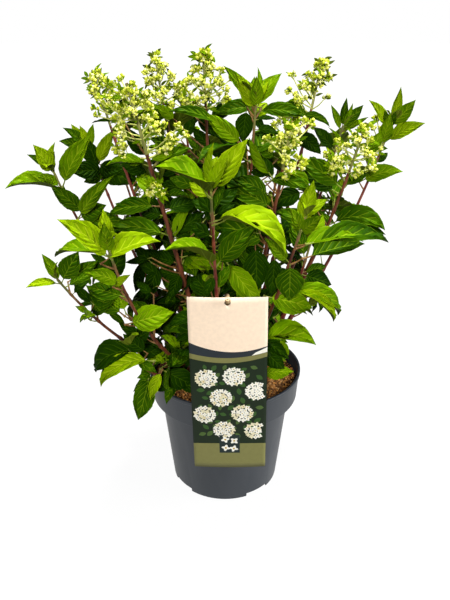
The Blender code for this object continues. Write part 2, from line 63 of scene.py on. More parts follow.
NOTCH_DEPTH = 14 * MM
NOTCH_TURN = math.radians(37.5)
DRAIN_HOLES = 6
DRAIN_RADIUS = 4.5 * MM
DRAIN_RING = 46 * MM
DRAIN_SIDES = 20
CREASE = 35


def add_node(made, kind, **sockets):
    """A new shader node. Each socket, its spaces as underscores, takes a value or another's output."""
    node = made.node_tree.nodes.new("ShaderNode" + kind)
    for name, given in sockets.items():
        socket = node.inputs[name.replace("_", " ")]
        if isinstance(given, bpy.types.NodeSocket):
            made.node_tree.links.new(given, socket)
        else:
            socket.default_value = given
    return node


def shader_input(made, name):
    """A socket of the finish's Principled shader."""
    return made.node_tree.nodes["Principled BSDF"].inputs[name]


def finish(name, colour, roughness, gloss=0.5):
    """A Principled finish with its plain colour, ready for its pattern."""
    made = bpy.data.materials.new(name)
    made.use_nodes = True
    shader_input(made, "Base Color").default_value = (*colour, 1)
    shader_input(made, "Roughness").default_value = roughness
    shader_input(made, "Specular IOR Level").default_value = gloss
    return made


def speckle(made, scale, stretch=(1, 1, 1), detail=3):
    """Noise over the piece's own coordinates, this many speckles to the metre."""
    place = add_node(made, "TexCoord").outputs["Object"]
    mapped = add_node(made, "Mapping", Vector=place, Scale=stretch).outputs["Vector"]
    return add_node(made, "TexNoise", Vector=mapped, Scale=scale, Detail=detail).outputs["Fac"]


def mottle(made, pattern, dark, light, low=0.35, high=0.65):
    """Runs the colour from dark to light over the middle of the pattern."""
    ramp = add_node(made, "ValToRGB", Fac=pattern)
    for stop, place, colour in zip(ramp.color_ramp.elements, (low, high), (dark, light)):
        stop.position = place
        stop.color = (*colour, 1)
    made.node_tree.links.new(ramp.outputs["Color"], shader_input(made, "Base Color"))


def roughen(made, pattern, smooth, rough):
    """Runs the roughness between two values over the pattern."""
    spread = add_node(made, "MapRange", Value=pattern, To_Min=smooth, To_Max=rough)
    made.node_tree.links.new(spread.outputs["Result"], shader_input(made, "Roughness"))


def emboss(made, pattern, depth, strength=1.0):
    """Raises the surface by the pattern, this deep in metres. A second call adds to the first."""
    bump = add_node(made, "Bump", Height=pattern, Strength=strength, Distance=depth)
    normal = shader_input(made, "Normal")
    if normal.links:
        made.node_tree.links.new(normal.links[0].from_socket, bump.inputs["Normal"])
    made.node_tree.links.new(bump.outputs["Normal"], normal)


def placed(name, data):
    """A new object in the scene, from its mesh, light or lens, which takes its name."""
    data.name = name
    thing = bpy.data.objects.new(name, data)
    bpy.context.scene.collection.objects.link(thing)
    return thing


def put_down(name, mesh, finishes, slot, *stands_for):
    """Makes the piece from its mesh, with its finishes, and fixes it to the plant's body."""
    piece = placed(name, mesh)
    for made in finishes:
        mesh.materials.append(made)
    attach(piece, "root")
    if stands_for:
        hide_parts(*stands_for)
    return piece


def smoothed(mesh, crease=CREASE):
    """The mesh shaded smooth, but for edges sharper than the crease."""
    mesh.shade_smooth()
    mesh.set_sharp_from_angle(angle=math.radians(crease))
    return mesh


def mesh_of(bm, crease=CREASE):
    """The finished mesh of this geometry."""
    mesh = bpy.data.meshes.new("mesh")
    bm.to_mesh(mesh)
    bm.free()
    return smoothed(mesh, crease)


def eased(corners, steps=4):
    """The outline with each corner rounded by the reach that comes third in it, if any."""
    line = []
    for i, (radius, height, reach) in enumerate(corners):
        here = Vector((radius, height))
        if not reach:
            line.append(here)
            continue
        before = here + (Vector(corners[i - 1][:2]) - here).normalized() * reach
        after = here + (Vector(corners[i + 1][:2]) - here).normalized() * reach
        for step in range(steps + 1):
            t = step / steps
            line.append(before * (1 - t) ** 2 + here * 2 * t * (1 - t) + after * t ** 2)
    return line


def in_order(parts, place):
    """Lists corners or faces by their places. A spin alone lists them in another order each run."""
    ranks = {part: i for i, part in enumerate(sorted(parts, key=place))}
    parts.sort(key=ranks.get)


def spun(outline, steps):
    """A closed turned shape. Its outline starts and ends on the Z axis."""
    bm = bmesh.new()
    verts = [bm.verts.new((radius, 0, height)) for radius, height in outline]
    edges = [bm.edges.new(pair) for pair in zip(verts, verts[1:])]
    bmesh.ops.spin(bm, geom=verts + edges, cent=(0, 0, 0), axis=(0, 0, 1), angle=math.tau,
                   steps=steps, use_merge=True)
    bmesh.ops.remove_doubles(bm, verts=bm.verts, dist=0.001 * MM)
    bmesh.ops.recalc_face_normals(bm, faces=bm.faces)
    in_order(bm.verts, lambda vert: vert.co[:])
    in_order(bm.faces, lambda face: face.calc_center_median()[:])
    return bm


def cut_out(piece, bm):
    """Cuts the closed shapes of this geometry out of the piece."""
    tool = placed("cutter", mesh_of(bm))
    cut = piece.modifiers.new("cut", "BOOLEAN")
    cut.object = tool
    graph = bpy.context.evaluated_depsgraph_get()
    mesh = bpy.data.meshes.new_from_object(piece.evaluated_get(graph))
    piece.modifiers.clear()
    piece.data = mesh
    bpy.data.objects.remove(tool)


def body_radius(height):
    """Outer radius of the pot's tapering body, below its shoulder."""
    shoulder = POT_HEIGHT - BAND_HEIGHT - SHOULDER_DROP
    return BASE_RADIUS + (SHOULDER_RADIUS - BASE_RADIUS) * height / shoulder


def pot_inside(clearance):
    """The inner outline from the floor to the rim, moved inwards by the clearance."""
    shoulder = POT_HEIGHT - BAND_HEIGHT
    floor = FLOOR_RISE + WALL
    return [
        (body_radius(floor) - WALL - clearance, floor + clearance, 2 * MM),
        (SHOULDER_RADIUS - WALL - clearance, shoulder + clearance, 0.6 * MM),
        (BAND_FOOT_RADIUS - WALL - clearance, shoulder + WALL + clearance, 0.8 * MM),
        (RIM_RADIUS - LIP_PROUD - WALL - clearance, POT_HEIGHT, 0.6 * MM),
    ]


def moulded_pot():
    """The pot's wall, band, lip and floor as one turned shape, with its notches and holes cut."""
    inside = pot_inside(0)
    foot_inner = BASE_RADIUS - WALL
    corners = [(0, inside[0][1], 0)] + inside + [
        (RIM_RADIUS, POT_HEIGHT, 0.9 * MM),
        (RIM_RADIUS, POT_HEIGHT - LIP_HEIGHT, 0.7 * MM),
        (RIM_RADIUS - LIP_PROUD, POT_HEIGHT - LIP_HEIGHT - LIP_PROUD / 2, 0.5 * MM),
        (BAND_FOOT_RADIUS, POT_HEIGHT - BAND_HEIGHT, 0.7 * MM),
        (SHOULDER_RADIUS, POT_HEIGHT - BAND_HEIGHT - SHOULDER_DROP, 0.8 * MM),
        (BASE_RADIUS, 0, 0.8 * MM),
        (foot_inner, 0, 0.3 * MM),
        (foot_inner, FLOOR_RISE, 0.6 * MM),
        (HUB_RADIUS, FLOOR_RISE, 0.6 * MM),
        (HUB_RADIUS, 0, 0.3 * MM),
        (0, 0, 0),
    ]
    return spun(eased(corners), POT_STEPS)


def pot_openings():
    """A box for each notch in the foot ring, and a rod for each drainage hole in the floor."""
    bm = bmesh.new()
    for i in range(NOTCHES):
        turn = Matrix.Rotation(NOTCH_TURN + i * math.tau / NOTCHES, 4, "Z")
        size = Matrix.Diagonal((NOTCH_DEPTH, NOTCH_WIDTH, 2 * NOTCH_HEIGHT, 1))
        place = Matrix.Translation((BASE_RADIUS, 0, 0))
        bmesh.ops.create_cube(bm, size=1, matrix=turn @ place @ size)
    for i in range(DRAIN_HOLES):
        angle = (i + 0.5) * math.tau / DRAIN_HOLES
        place = (DRAIN_RING * math.cos(angle), DRAIN_RING * math.sin(angle), FLOOR_RISE)
        bmesh.ops.create_cone(bm, cap_ends=True, segments=DRAIN_SIDES, radius1=DRAIN_RADIUS,
                              radius2=DRAIN_RADIUS, depth=6 * WALL,
                              matrix=Matrix.Translation(place))
    return bm


slate_plastic = finish("slate_grey_plastic", (0.024, 0.029, 0.036), 0.5, 0.35)
mottle(slate_plastic, speckle(slate_plastic, 14, (1, 1, 0.35)), (0.021, 0.026, 0.032),
       (0.027, 0.032, 0.039))
roughen(slate_plastic, speckle(slate_plastic, 90, (1, 1, 0.3)), 0.42, 0.56)
emboss(slate_plastic, speckle(slate_plastic, 2200, detail=1), 0.06 * MM, 0.35)
emboss(slate_plastic, speckle(slate_plastic, 60, (1, 1, 0.15)), 0.25 * MM, 0.25)
pot = put_down("nursery_pot", mesh_of(moulded_pot()), [slate_plastic], "pot_plastic", "pot")
cut_out(pot, pot_openings())
smoothed(pot.data)

# Growing medium
# Composted bark and coir that fills the pot to below its rim. Crumbs, bark chips and fibres lie
# loose on top, in four browns, and they are darker where they are still damp.
SOIL_TOP = 145 * MM
GAP = 0.3 * MM
SOIL_RINGS = 40
SOIL_SIDES = 110
SOIL_RELIEF = 1.3 * MM
SOIL_LUMPS = ((60, 1), (170, 0.7), (420, 0.5))
SOIL_SUNK = 1.5 * MM
EDGE_START = 80 * MM
EDGE_RUN = 12 * MM
EDGE_DIP = 2 * MM
STREWN_REACH = 90 * MM
BARK_MIX = (0, 1, 1, 2, 2, 3)
CRUMBS = 2600
CHIPS = 620
FIBRES = 420


class Heap:
    """Many small shapes gathered as arrays, to be joined into one mesh."""

    def __init__(self):
        self.points, self.faces, self.tones, self.maps, self.count = [], [], [], [], 0

    def add(self, points, faces, tone=0, flat_map=None):
        """Adds a shape in one tone, or with a tone for each face, and its flat map if it has one."""
        self.points.append(np.asarray(points))
        self.faces.extend(tuple(corner + self.count for corner in face) for face in faces)
        self.tones.extend([tone] * len(faces) if isinstance(tone, int) else tone)
        if flat_map is not None:
            self.maps.append(flat_map)
        self.count += len(points)

    def mesh(self, crease=CREASE):
        """All the shapes as one mesh."""
        mesh = bpy.data.meshes.new("mesh")
        mesh.from_pydata(np.concatenate(self.points).tolist(), [], self.faces)
        mesh.polygons.foreach_set("material_index", self.tones)
        if self.maps:
            corners = np.empty(len(mesh.loops), dtype=np.int32)
            mesh.loops.foreach_get("vertex_index", corners)
            layer = mesh.uv_layers.new(name="blade")
            layer.data.foreach_set("uv", np.concatenate(self.maps)[corners].ravel())
        return smoothed(mesh, crease)


def as_arrays(bm):
    """The corners and faces of this geometry, which is then let go."""
    bm.verts.index_update()
    points = np.array([vert.co[:] for vert in bm.verts])
    faces = [tuple(vert.index for vert in face.verts) for face in bm.faces]
    bm.free()
    return points, faces


def soil_height(x, y):
    """The lie of the surface: gentle hollows, lumps of bark, and a dip along the pot's wall."""
    place = Vector((x, y, 0))
    edge = max(0.0, math.hypot(x, y) - EDGE_START) / EDGE_RUN
    lumps = sum(weight * noise.noise(place * scale) for scale, weight in SOIL_LUMPS)
    return SOIL_TOP - SOIL_SUNK + SOIL_RELIEF * lumps - EDGE_DIP * edge


def soil_body():
    """The plug of medium, a hair clear of the pot, with its top worked into a crumbly relief."""
    outline = pot_inside(GAP)
    low, high = outline[2], outline[3]
    share = (SOIL_TOP - low[1]) / (high[1] - low[1])
    edge = low[0] + share * (high[0] - low[0])
    top = [(edge * i / SOIL_RINGS, SOIL_TOP) for i in range(SOIL_RINGS)]
    wall = [(edge, SOIL_TOP - 4 * MM)] + [corner[:2] for corner in outline[2::-1]]
    bm = spun(top + wall + [(0, outline[0][1])], SOIL_SIDES)
    for vert in bm.verts:
        if vert.co.z > SOIL_TOP - MM:
            vert.co.z = soil_height(vert.co.x, vert.co.y)
    return bm


def bark_crumb():
    """A rough lump with a few facets."""
    bm = bmesh.new()
    bmesh.ops.create_icosphere(bm, subdivisions=1, radius=1)
    for vert in bm.verts:
        vert.co *= 1 + 0.35 * noise.noise(vert.co * 2.3)
    return as_arrays(bm)


def bark_chip():
    """A flat splinter, thinner and narrower at one end."""
    bm = bmesh.new()
    bmesh.ops.create_cube(bm, size=2)
    for vert in bm.verts:
        if vert.co.x > 0:
            vert.co.y = 0.55 * vert.co.y + 0.2
            vert.co.z *= 0.6
    bmesh.ops.scale(bm, vec=(1, 0.42, 0.16), verts=bm.verts)
    return as_arrays(bm)


def lengthwise(bm):
    """The edges that run along Z."""
    return [edge for edge in bm.edges if abs(edge.verts[0].co.z - edge.verts[1].co.z) > 1]


def coir_fibre():
    """A thin curved strand with three sides."""
    bm = bmesh.new()
    bmesh.ops.create_cone(bm, cap_ends=True, segments=3, radius1=0.05, radius2=0.03, depth=2)
    bmesh.ops.subdivide_edges(bm, edges=lengthwise(bm), cuts=3)
    for vert in bm.verts:
        vert.co.y += 0.35 * (1 - vert.co.z ** 2)
    bmesh.ops.rotate(bm, matrix=Matrix.Rotation(math.pi / 2, 3, "Y"), verts=bm.verts)
    return as_arrays(bm)


def strewn(heap, shape, count, sizes, lift, tilt, seed):
    """Strews copies of the shape over the medium, turned and sized by a seeded draw."""
    draw = random.Random(seed)
    points, faces = shape
    for _ in range(count):
        size = draw.uniform(*sizes) * MM
        reach = (STREWN_REACH - size) * math.sqrt(draw.random())
        angle = draw.uniform(0, math.tau)
        x, y = reach * math.cos(angle), reach * math.sin(angle)
        turn = Matrix.Rotation(draw.uniform(0, math.tau), 3, "Z")
        turn = turn @ Matrix.Rotation(math.radians(draw.uniform(-tilt, tilt)), 3, "Y")
        turn = turn @ Matrix.Rotation(math.radians(draw.uniform(-tilt, tilt)), 3, "X")
        place = np.array((x, y, soil_height(x, y) + lift * size))
        heap.add(points @ (np.array(turn).T * size) + place, faces, draw.choice(BARK_MIX))


def bark_finish(name, dark, light):
    """Dull, rough bark or peat in flecks of two tones."""
    made = finish(name, light, 0.9)
    mottle(made, speckle(made, 420), dark, light)
    emboss(made, speckle(made, 900, detail=4), 0.4 * MM, 0.8)
    return made


peat = bark_finish("damp_peat", (0.065, 0.022, 0.003), (0.23, 0.1, 0.022))
barks = [
    bark_finish("dark_bark", (0.055, 0.02, 0.003), (0.18, 0.075, 0.016)),
    bark_finish("brown_bark", (0.24, 0.085, 0.012), (0.52, 0.23, 0.045)),
    bark_finish("red_bark_chips", (0.3, 0.11, 0.02), (0.6, 0.27, 0.06)),
    bark_finish("pale_bark", (0.34, 0.16, 0.045), (0.6, 0.35, 0.13)),
]
put_down("growing_medium", mesh_of(soil_body(), 60), [peat], "growing_medium", "soil")
crumbs = Heap()
strewn(crumbs, bark_crumb(), CRUMBS, sizes=(0.7, 2.1), lift=0.25, tilt=180, seed="crumbs")
put_down("bark_crumbs", crumbs.mesh(20), barks, "growing_medium")
chips = Heap()
strewn(chips, bark_chip(), CHIPS, sizes=(1.0, 2.8), lift=0.3, tilt=38, seed="chips")
strewn(chips, coir_fibre(), FIBRES, sizes=(2.5, 6), lift=0.4, tilt=34, seed="fibres")
put_down("bark_chips_and_fibres", chips.mesh(20), barks, "growing_medium")

# Woody foot and canes
# The shrub stands on a low woody foot, and twenty-seven canes rise from it and lean outwards.
# They are old brown wood at the foot, red or rosy bark above, and green or tan near the tip.
# Each cane swells at its nodes, where a pair of leaves stands or a scar shows one that fell.
FOOT_RADIUS = 30 * MM
FOOT_TOP_RADIUS = 19 * MM
FOOT_HEIGHT = 13 * MM
SPUR_LENGTH = 26 * MM
CANE_RADIUS = 2.7 * MM
TIP_RADIUS = 1.15 * MM
ROOT_RING = 6 * MM
ROOT_SPREAD = 0.08
CANE_FOOT = SOIL_TOP + 4 * MM
RISE = 0.3
STRIDE = 46 * MM
LEAFY_GAPS = (4 * MM, 20 * MM, 38 * MM, 42 * MM, STRIDE, STRIDE, STRIDE)
PLUME_GAPS = (8 * MM, 34 * MM, 40 * MM, STRIDE, STRIDE, STRIDE, STRIDE)
MASS_LEAD = 9 * MM
SHOOT_RADIUS = 1.5 * MM
SHOOT_TIP_RADIUS = 0.8 * MM
SHOOT_STEPS = 14
SHOOT_SIDES = 8
CANE_SIDES = 10
RING_STEP = 2.6 * MM
NODE_SWELLING = 0.34
NODE_REACH = 2.6 * MM
FOOT_STEPS = 12
FOOT_SIDES = 48
UP = Vector((0, 0, 1))
OLD_WOOD, RED_BARK, ROSY_BARK, TAN_BARK, GREEN_BARK, RACHIS = range(6)

Cane = namedtuple("Cane", "name tip sweep pairs leaf turn plume girth shoots", defaults=(0, 1.0, ()))
Shoot = namedtuple("Shoot", "node side length leaf plume")
CANES = (
    Cane("far_left", (-184, -22, 410), 0.62, 6, 76, 100),
    Cane("left_plume", (-146, 40, 509), 0.48, 6, 76, 20, 70),
    Cane("front_left_plume", (-96, -50, 505), 0.36, 6, 80, 0, 82, 1.3,
         (Shoot(0, 1, 34, 34, 24), Shoot(1, -1, 38, 36, 22))),
    Cane("back_left_plume", (-83, 100, 523), 0.45, 6, 74, 50, 60),
    Cane("mid_left_plume", (-55, 124, 488), 0.45, 6, 72, 80, 58),
    Cane("centre_plume", (-23, 22, 533), 0.5, 6, 78, 100, 66, 1.1),
    Cane("centre_leafy", (32, -14, 480), 0.5, 7, 80, 35),
    Cane("right_plume", (111, 70, 519), 0.5, 6, 78, 5, 66, 1.1),
    Cane("mid_right_plume", (65, -70, 472), 0.45, 5, 76, 10, 56, 1.1),
    Cane("right_low_plume", (148, -20, 462), 0.58, 5, 72, 10, 58, 1.1,
         (Shoot(0, -1, 30, 34, 22),)),
    Cane("far_right", (184, 22, 452), 0.62, 3, 68, 100),
    Cane("right_leafy", (138, 62, 444), 0.55, 6, 70, 60),
    Cane("front_right", (78, -106, 386), 0.5, 6, 76, 20),
    Cane("front_centre", (-13, -128, 418), 0.52, 6, 82, 75),
    Cane("front_left_low", (-114, -120, 362), 0.74, 5, 74, 125),
    Cane("front_left_far", (-170, -108, 322), 0.6, 2, 54, 60),
    Cane("left_leafy", (-164, 78, 418), 0.6, 6, 64, 100),
    Cane("mid_left_leafy", (-74, 0, 392), 0.6, 6, 74, 30),
    Cane("mid_right_leafy", (66, 28, 400), 0.6, 6, 74, 60),
    Cane("low_right", (92, -56, 344), 0.7, 4, 62, 50),
    Cane("low_left", (-104, -100, 240), 0.85, 3, 72, 150),
    Cane("back_centre", (40, 168, 430), 0.5, 6, 76, 45),
    Cane("back_right", (142, 142, 410), 0.6, 6, 76, 0),
    Cane("back_right_plume", (82, 122, 462), 0.45, 6, 72, 80, 58),
    Cane("back_left_low", (-142, 148, 390), 0.62, 6, 74, 30),
    Cane("back_low", (-40, 188, 374), 0.62, 6, 74, 10),
    Cane("back_far_right", (140, 98, 350), 0.7, 5, 68, 40),
)


class Axis:
    """The line of a stem: an even curve from its start, drawn towards its bend, to its end."""

    STEPS = 48

    def __init__(self, start, bend, end):
        self.points, self.lengths = [], [0.0]
        for i in range(self.STEPS + 1):
            t = i / self.STEPS
            self.points.append(start * (1 - t) ** 2 + bend * 2 * t * (1 - t) + end * t ** 2)
        for first, second in zip(self.points, self.points[1:]):
            self.lengths.append(self.lengths[-1] + (second - first).length)
        self.length = self.lengths[-1]

    def at(self, along):
        """The point this far along the line."""
        i = 0
        while i < self.STEPS - 1 and along > self.lengths[i + 1]:
            i += 1
        share = (along - self.lengths[i]) / (self.lengths[i + 1] - self.lengths[i])
        return self.points[i].lerp(self.points[i + 1], share)

    def heading(self, along):
        """The direction in which the line runs there."""
        step = 2 * MM
        low, high = max(along - step, 0), min(along + step, self.length)
        return (self.at(high) - self.at(low)).normalized()

    def line(self, steps):
        """Evenly spaced points from its start to its end."""
        return [self.at(self.length * i / steps) for i in range(steps + 1)]


def cane_axis(cane):
    """The line of a cane, which leans out from the woody foot and then rises to its tip."""
    tip = Vector(cane.tip) * MM
    outward = Vector((tip.x, tip.y, 0))
    foot = outward.normalized() * (ROOT_RING + ROOT_SPREAD * outward.length)
    foot.z = CANE_FOOT
    bend = foot + (tip - foot) * cane.sweep
    bend.z = foot.z + (tip.z - foot.z) * RISE
    return Axis(foot, bend, tip)


def node_places(axis, pairs, plume, lowest):
    """How far along the stem each leaf pair sits, from the top pair down."""
    places, here = [], axis.length - plume
    for gap in (PLUME_GAPS if plume else LEAFY_GAPS)[:pairs]:
        here -= gap
        if here > lowest:
            places.append(here)
    return places


def across(stem, azimuth):
    """The direction square to the stem that points nearest to this compass azimuth."""
    flat = Vector((math.cos(azimuth), math.sin(azimuth), 0))
    return (flat - stem * flat.dot(stem)).normalized()


def shoot_axis(axis, place, shoot, azimuth):
    """A side shoot leaves its node beside a leaf of the pair, and bends upwards."""
    root, stem = axis.at(place + MM), axis.heading(place + MM)
    side = across(stem, azimuth) * shoot.side
    half = shoot.length * MM / 2
    bend = root + (stem * 0.45 + side * 0.9).normalized() * half
    return Axis(root, bend, bend + (UP * 0.75 + side * 0.55 + stem * 0.3).normalized() * half)


def limb(line, radii, sides, relief=None):
    """A closed round limb along a line of points. The relief varies each corner's radius."""
    line, radii = np.array(line, float), np.array(radii, float)
    along = np.gradient(line, axis=0)
    along /= np.linalg.norm(along, axis=1)[:, None]
    side = np.cross(along[0], (0, 0, 1) if abs(along[0][2]) < 0.9 else (1, 0, 0))
    angles = np.arange(sides) * math.tau / sides
    rings = []
    for i, heading in enumerate(along):
        side = side - heading * side.dot(heading)
        side /= np.linalg.norm(side)
        third = np.cross(heading, side)
        round_it = np.outer(np.cos(angles), side) + np.outer(np.sin(angles), third)
        reach = radii[i] * (relief[i] if relief is not None else np.ones(sides))
        rings.append(line[i] + round_it * reach[:, None])
    faces = []
    for i in range(len(line) - 1):
        for j in range(sides):
            k = (j + 1) % sides
            first, second = i * sides, (i + 1) * sides
            faces.append((first + j, first + k, second + k, second + j))
    last = (len(line) - 1) * sides
    faces.append(tuple(range(sides - 1, -1, -1)))
    faces.append(tuple(range(last, last + sides)))
    return np.concatenate(rings), faces


def woody_foot():
    """The mound of old wood that the canes rise from, knotted and furrowed."""
    rise = SOIL_TOP - 3 * MM
    top = SOIL_TOP + FOOT_HEIGHT
    dome = [(0, top)]
    for i in range(1, FOOT_STEPS + 1):
        t = i / FOOT_STEPS
        reach = FOOT_TOP_RADIUS + (FOOT_RADIUS - FOOT_TOP_RADIUS) * t
        turn = t * math.pi / 2
        dome.append((reach * math.sin(turn), rise + (top - rise) * math.cos(turn)))
    bm = spun(dome + [(0, rise)], FOOT_SIDES)
    for vert in bm.verts:
        if vert.co.z > rise:
            bulge = 1 + 0.14 * noise.noise(vert.co * 95) + 0.06 * noise.noise(vert.co * 300)
            vert.co.x *= bulge
            vert.co.y *= bulge
            vert.co.z += 1.2 * MM * noise.noise(vert.co * 160)
    return bm


class GrownCane:
    """One cane with its line, its leaf nodes and its side shoots, as the source's rule has them."""

    def __init__(self, cane, number):
        self.cane = cane
        self.axis = cane_axis(cane)
        self.plume = cane.plume * MM
        self.places = node_places(self.axis, cane.pairs, self.plume, SPUR_LENGTH + 2 * MASS_LEAD)
        self.rosy = number % 3 == 1
        self.shoots = []
        for shoot in cane.shoots:
            azimuth = self.azimuth(shoot.node)
            self.shoots.append((shoot, shoot_axis(self.axis, self.places[shoot.node], shoot, azimuth),
                                azimuth))

    def azimuth(self, rank):
        """The compass direction of this leaf pair, a quarter turn from the one above."""
        return math.radians(self.cane.turn) + rank * math.pi / 2

    def scars(self):
        """Old nodes without leaves, below the lowest pair."""
        return list(np.arange(self.places[-1] - STRIDE, SPUR_LENGTH, -STRIDE * 0.8))

    def radius(self, along):
        """The cane's radius, which tapers to its tip and flares at its foot."""
        taper = CANE_RADIUS + (TIP_RADIUS - CANE_RADIUS) * along / self.axis.length
        flare = 1 + 0.35 * max(0.0, 1 - along / SPUR_LENGTH) ** 2
        return taper * flare * self.cane.girth

    def bark(self):
        """Corners, faces and tones of the cane, with swollen nodes and a ribbed, flaking bark."""
        rings = int(self.axis.length / RING_STEP)
        along = np.linspace(0, self.axis.length, rings + 1)
        line = [self.axis.at(place) for place in along]
        line[0] = line[0] - UP * 4 * MM
        nodes = np.array(self.places + self.scars())
        shape = np.ones((rings + 1, CANE_SIDES))
        for i, place in enumerate(along):
            near = np.abs(nodes - place).min()
            swelling = NODE_SWELLING * math.exp(-(near / NODE_REACH) ** 2)
            for j in range(CANE_SIDES):
                spot = Vector((line[i].x + j * 0.7, line[i].y, line[i].z * 0.3))
                rib = 0.05 * noise.noise(spot * 140) + 0.04 * noise.noise(Vector((j, place * 420, 0)))
                shape[i, j] = 1 + swelling + rib
        points, faces = limb(line, [self.radius(place) for place in along], CANE_SIDES, shape)
        bare = 1 - 0.9 * self.plume / self.axis.length
        tones = [RACHIS if self.plume and i / rings > bare else self.tone(i / rings, j)
                 for i in range(rings) for j in range(CANE_SIDES)]
        return points, faces, tones + [OLD_WOOD, TAN_BARK]

    def tone(self, share, side):
        """Which bark a face has: old wood, red or rosy, tan, then green near the tip."""
        ragged = share + 0.035 * noise.noise(Vector((side * 0.8, share * 30, self.cane.turn)))
        if ragged < 0.09:
            return OLD_WOOD
        if ragged < 0.86:
            return ROSY_BARK if self.rosy else RED_BARK
        return TAN_BARK if ragged < 0.92 else GREEN_BARK


def stem_finish(name, dark, light, roughness=0.5):
    """Bark with fine lengthwise streaks and small raised pores."""
    made = finish(name, light, roughness, 0.2)
    mottle(made, speckle(made, 260, (1, 1, 0.12), 5), dark, light, 0.38, 0.6)
    emboss(made, speckle(made, 700, (1, 1, 0.2), 4), 0.25 * MM, 0.7)
    return made


old_wood = stem_finish("old_wood", (0.05, 0.024, 0.013), (0.13, 0.073, 0.042), 0.8)
stem_barks = [
    old_wood,
    stem_finish("red_brown_bark", (0.05, 0.011, 0.004), (0.15, 0.043, 0.016)),
    stem_finish("rosy_bark", (0.09, 0.012, 0.008), (0.2, 0.045, 0.024)),
    stem_finish("tan_bark", (0.1, 0.045, 0.014), (0.22, 0.12, 0.045)),
    stem_finish("green_bark", (0.08, 0.085, 0.018), (0.19, 0.18, 0.045)),
    stem_finish("pale_green_rachis", (0.15, 0.16, 0.035), (0.3, 0.3, 0.08)),
]
put_down("woody_foot_relief", mesh_of(woody_foot(), 60), [old_wood], "old_wood", "woody_foot")
grown = [GrownCane(cane, i) for i, cane in enumerate(CANES)]
cane_heap = Heap()
for one in grown:
    cane_heap.add(*one.bark())
for one in grown:
    for _, axis, _ in one.shoots:
        radii = np.linspace(SHOOT_RADIUS, SHOOT_TIP_RADIUS, SHOOT_STEPS + 1)
        cane_heap.add(*limb(axis.line(SHOOT_STEPS), radii, SHOOT_SIDES), GREEN_BARK)
put_down("canes", cane_heap.mesh(50), stem_barks, "bark",
         *("bough_" + cane.name for cane in CANES))

# Leaves
# Opposite pairs of pointed, toothed leaves, each pair turned a quarter from the one above. Sunken
# side veins arch forwards, and the blade swells between them. Young leaves are yellow-green, and
# the tone deepens down the cane, partly with age and partly as painted shade. The sunlit and
# shaded tones are lit and shaded copies of the green: painted light and painted shade. Blades are
# paler below, partly their own paler underside and partly painted light shining through the blade,
# and stalks are green or ruddy.
PETIOLE = 0.15
HALF_WIDTH = 0.235
LEAF_FOLD = 14
LEAF_STATIONS = (0.34, 0.7)
LEAF_SIZES = (0.6, 0.84, 0.98, 1.0, 0.98, 0.94, 0.9)
LEAF_ANGLES = (24, 40, 52, 60, 68, 76, 84)
LEAF_DROOPS = (22, 40, 52, 62, 70, 76, 80)
RETRIES = ((0, 0, 1), (16, 0, 1), (-16, 0, 1), (0, 14, 1), (0, -14, 0.95), (30, 8, 0.92),
           (-30, -8, 0.92), (0, 26, 0.82), (44, -16, 0.8), (-44, 16, 0.8))
SHOOT_PAIRS = 3
SAME_PLACE = 0.4 * MM
LARGE_LEAF = 40 * MM
LARGE_IN_FRONT = 34 * MM
BLADE_SIDE = 0.13
VEIN_ROOTS = (0.03, 0.12, 0.25, 0.4, 0.57)
VEIN_ENDS = (0.3, 0.52, 0.7, 0.84, 0.94)
VEIN_HALF = 0.005
MIDRIB_HALF = 0.028
PANEL_RISE = 0.032
BLADE_DEPTH = 0.012
STALK_SWELLS = ((0, 1.9), (0.12, 1.5), (0.3, 1.05), (0.55, 0.9), (0.8, 0.85), (1, 0.7))
# The sunlit tone is painted light and the shaded tone is painted shade: lit and shaded copies of the
# green.
YOUNG, PAINTED_SUNLIT, MATURE, PAINTED_SHADE = range(4)
GREEN_STALK, RUDDY_STALK = 0, 1
STALK_MIX = (GREEN_STALK, GREEN_STALK, RUDDY_STALK)
Leaf = namedtuple("Leaf", "root heading face length droop")


def plan_leaf(root, stem, azimuth, angle, length, droop, roll):
    """A leaf that leaves the stem at this angle, its upper face to the stem, sky and outside."""
    side = across(stem, azimuth)
    heading = stem * math.cos(angle) + side * math.sin(angle)
    outward = Vector((root.x, root.y, 0)).normalized()
    face = stem * math.sin(angle) - side * math.cos(angle) + UP * 0.35 + outward * 0.45
    face = (face - heading * face.dot(heading)).normalized()
    face = Matrix.Rotation(roll, 3, heading) @ face
    return Leaf(root, heading, face, length, droop)


def leaf_tries(label, rank, side, root, stem, azimuth, size):
    """The leaf as the rule has it, then the ways it may be turned or shortened to fit."""
    draw = random.Random(f"{label} {rank} {side}")
    sway, lift, grow, bend, roll = (draw.uniform(-1, 1) for _ in range(5))
    order = min(rank, len(LEAF_SIZES) - 1)
    for turn, tip_down, shrink in RETRIES:
        yield plan_leaf(
            root, stem, azimuth + math.radians(turn + 12 * sway),
            math.radians(LEAF_ANGLES[order] + tip_down + 8 * lift),
            size * LEAF_SIZES[order] * shrink * (1 + 0.1 * grow),
            math.radians(LEAF_DROOPS[order] + 14 * bend), math.radians(20 * roll))


def leaf_width(share):
    """Half the blade's width at this share of its length, as a share of the widest."""
    return 3.94 * share ** 0.8 * (1 - share) ** 1.25


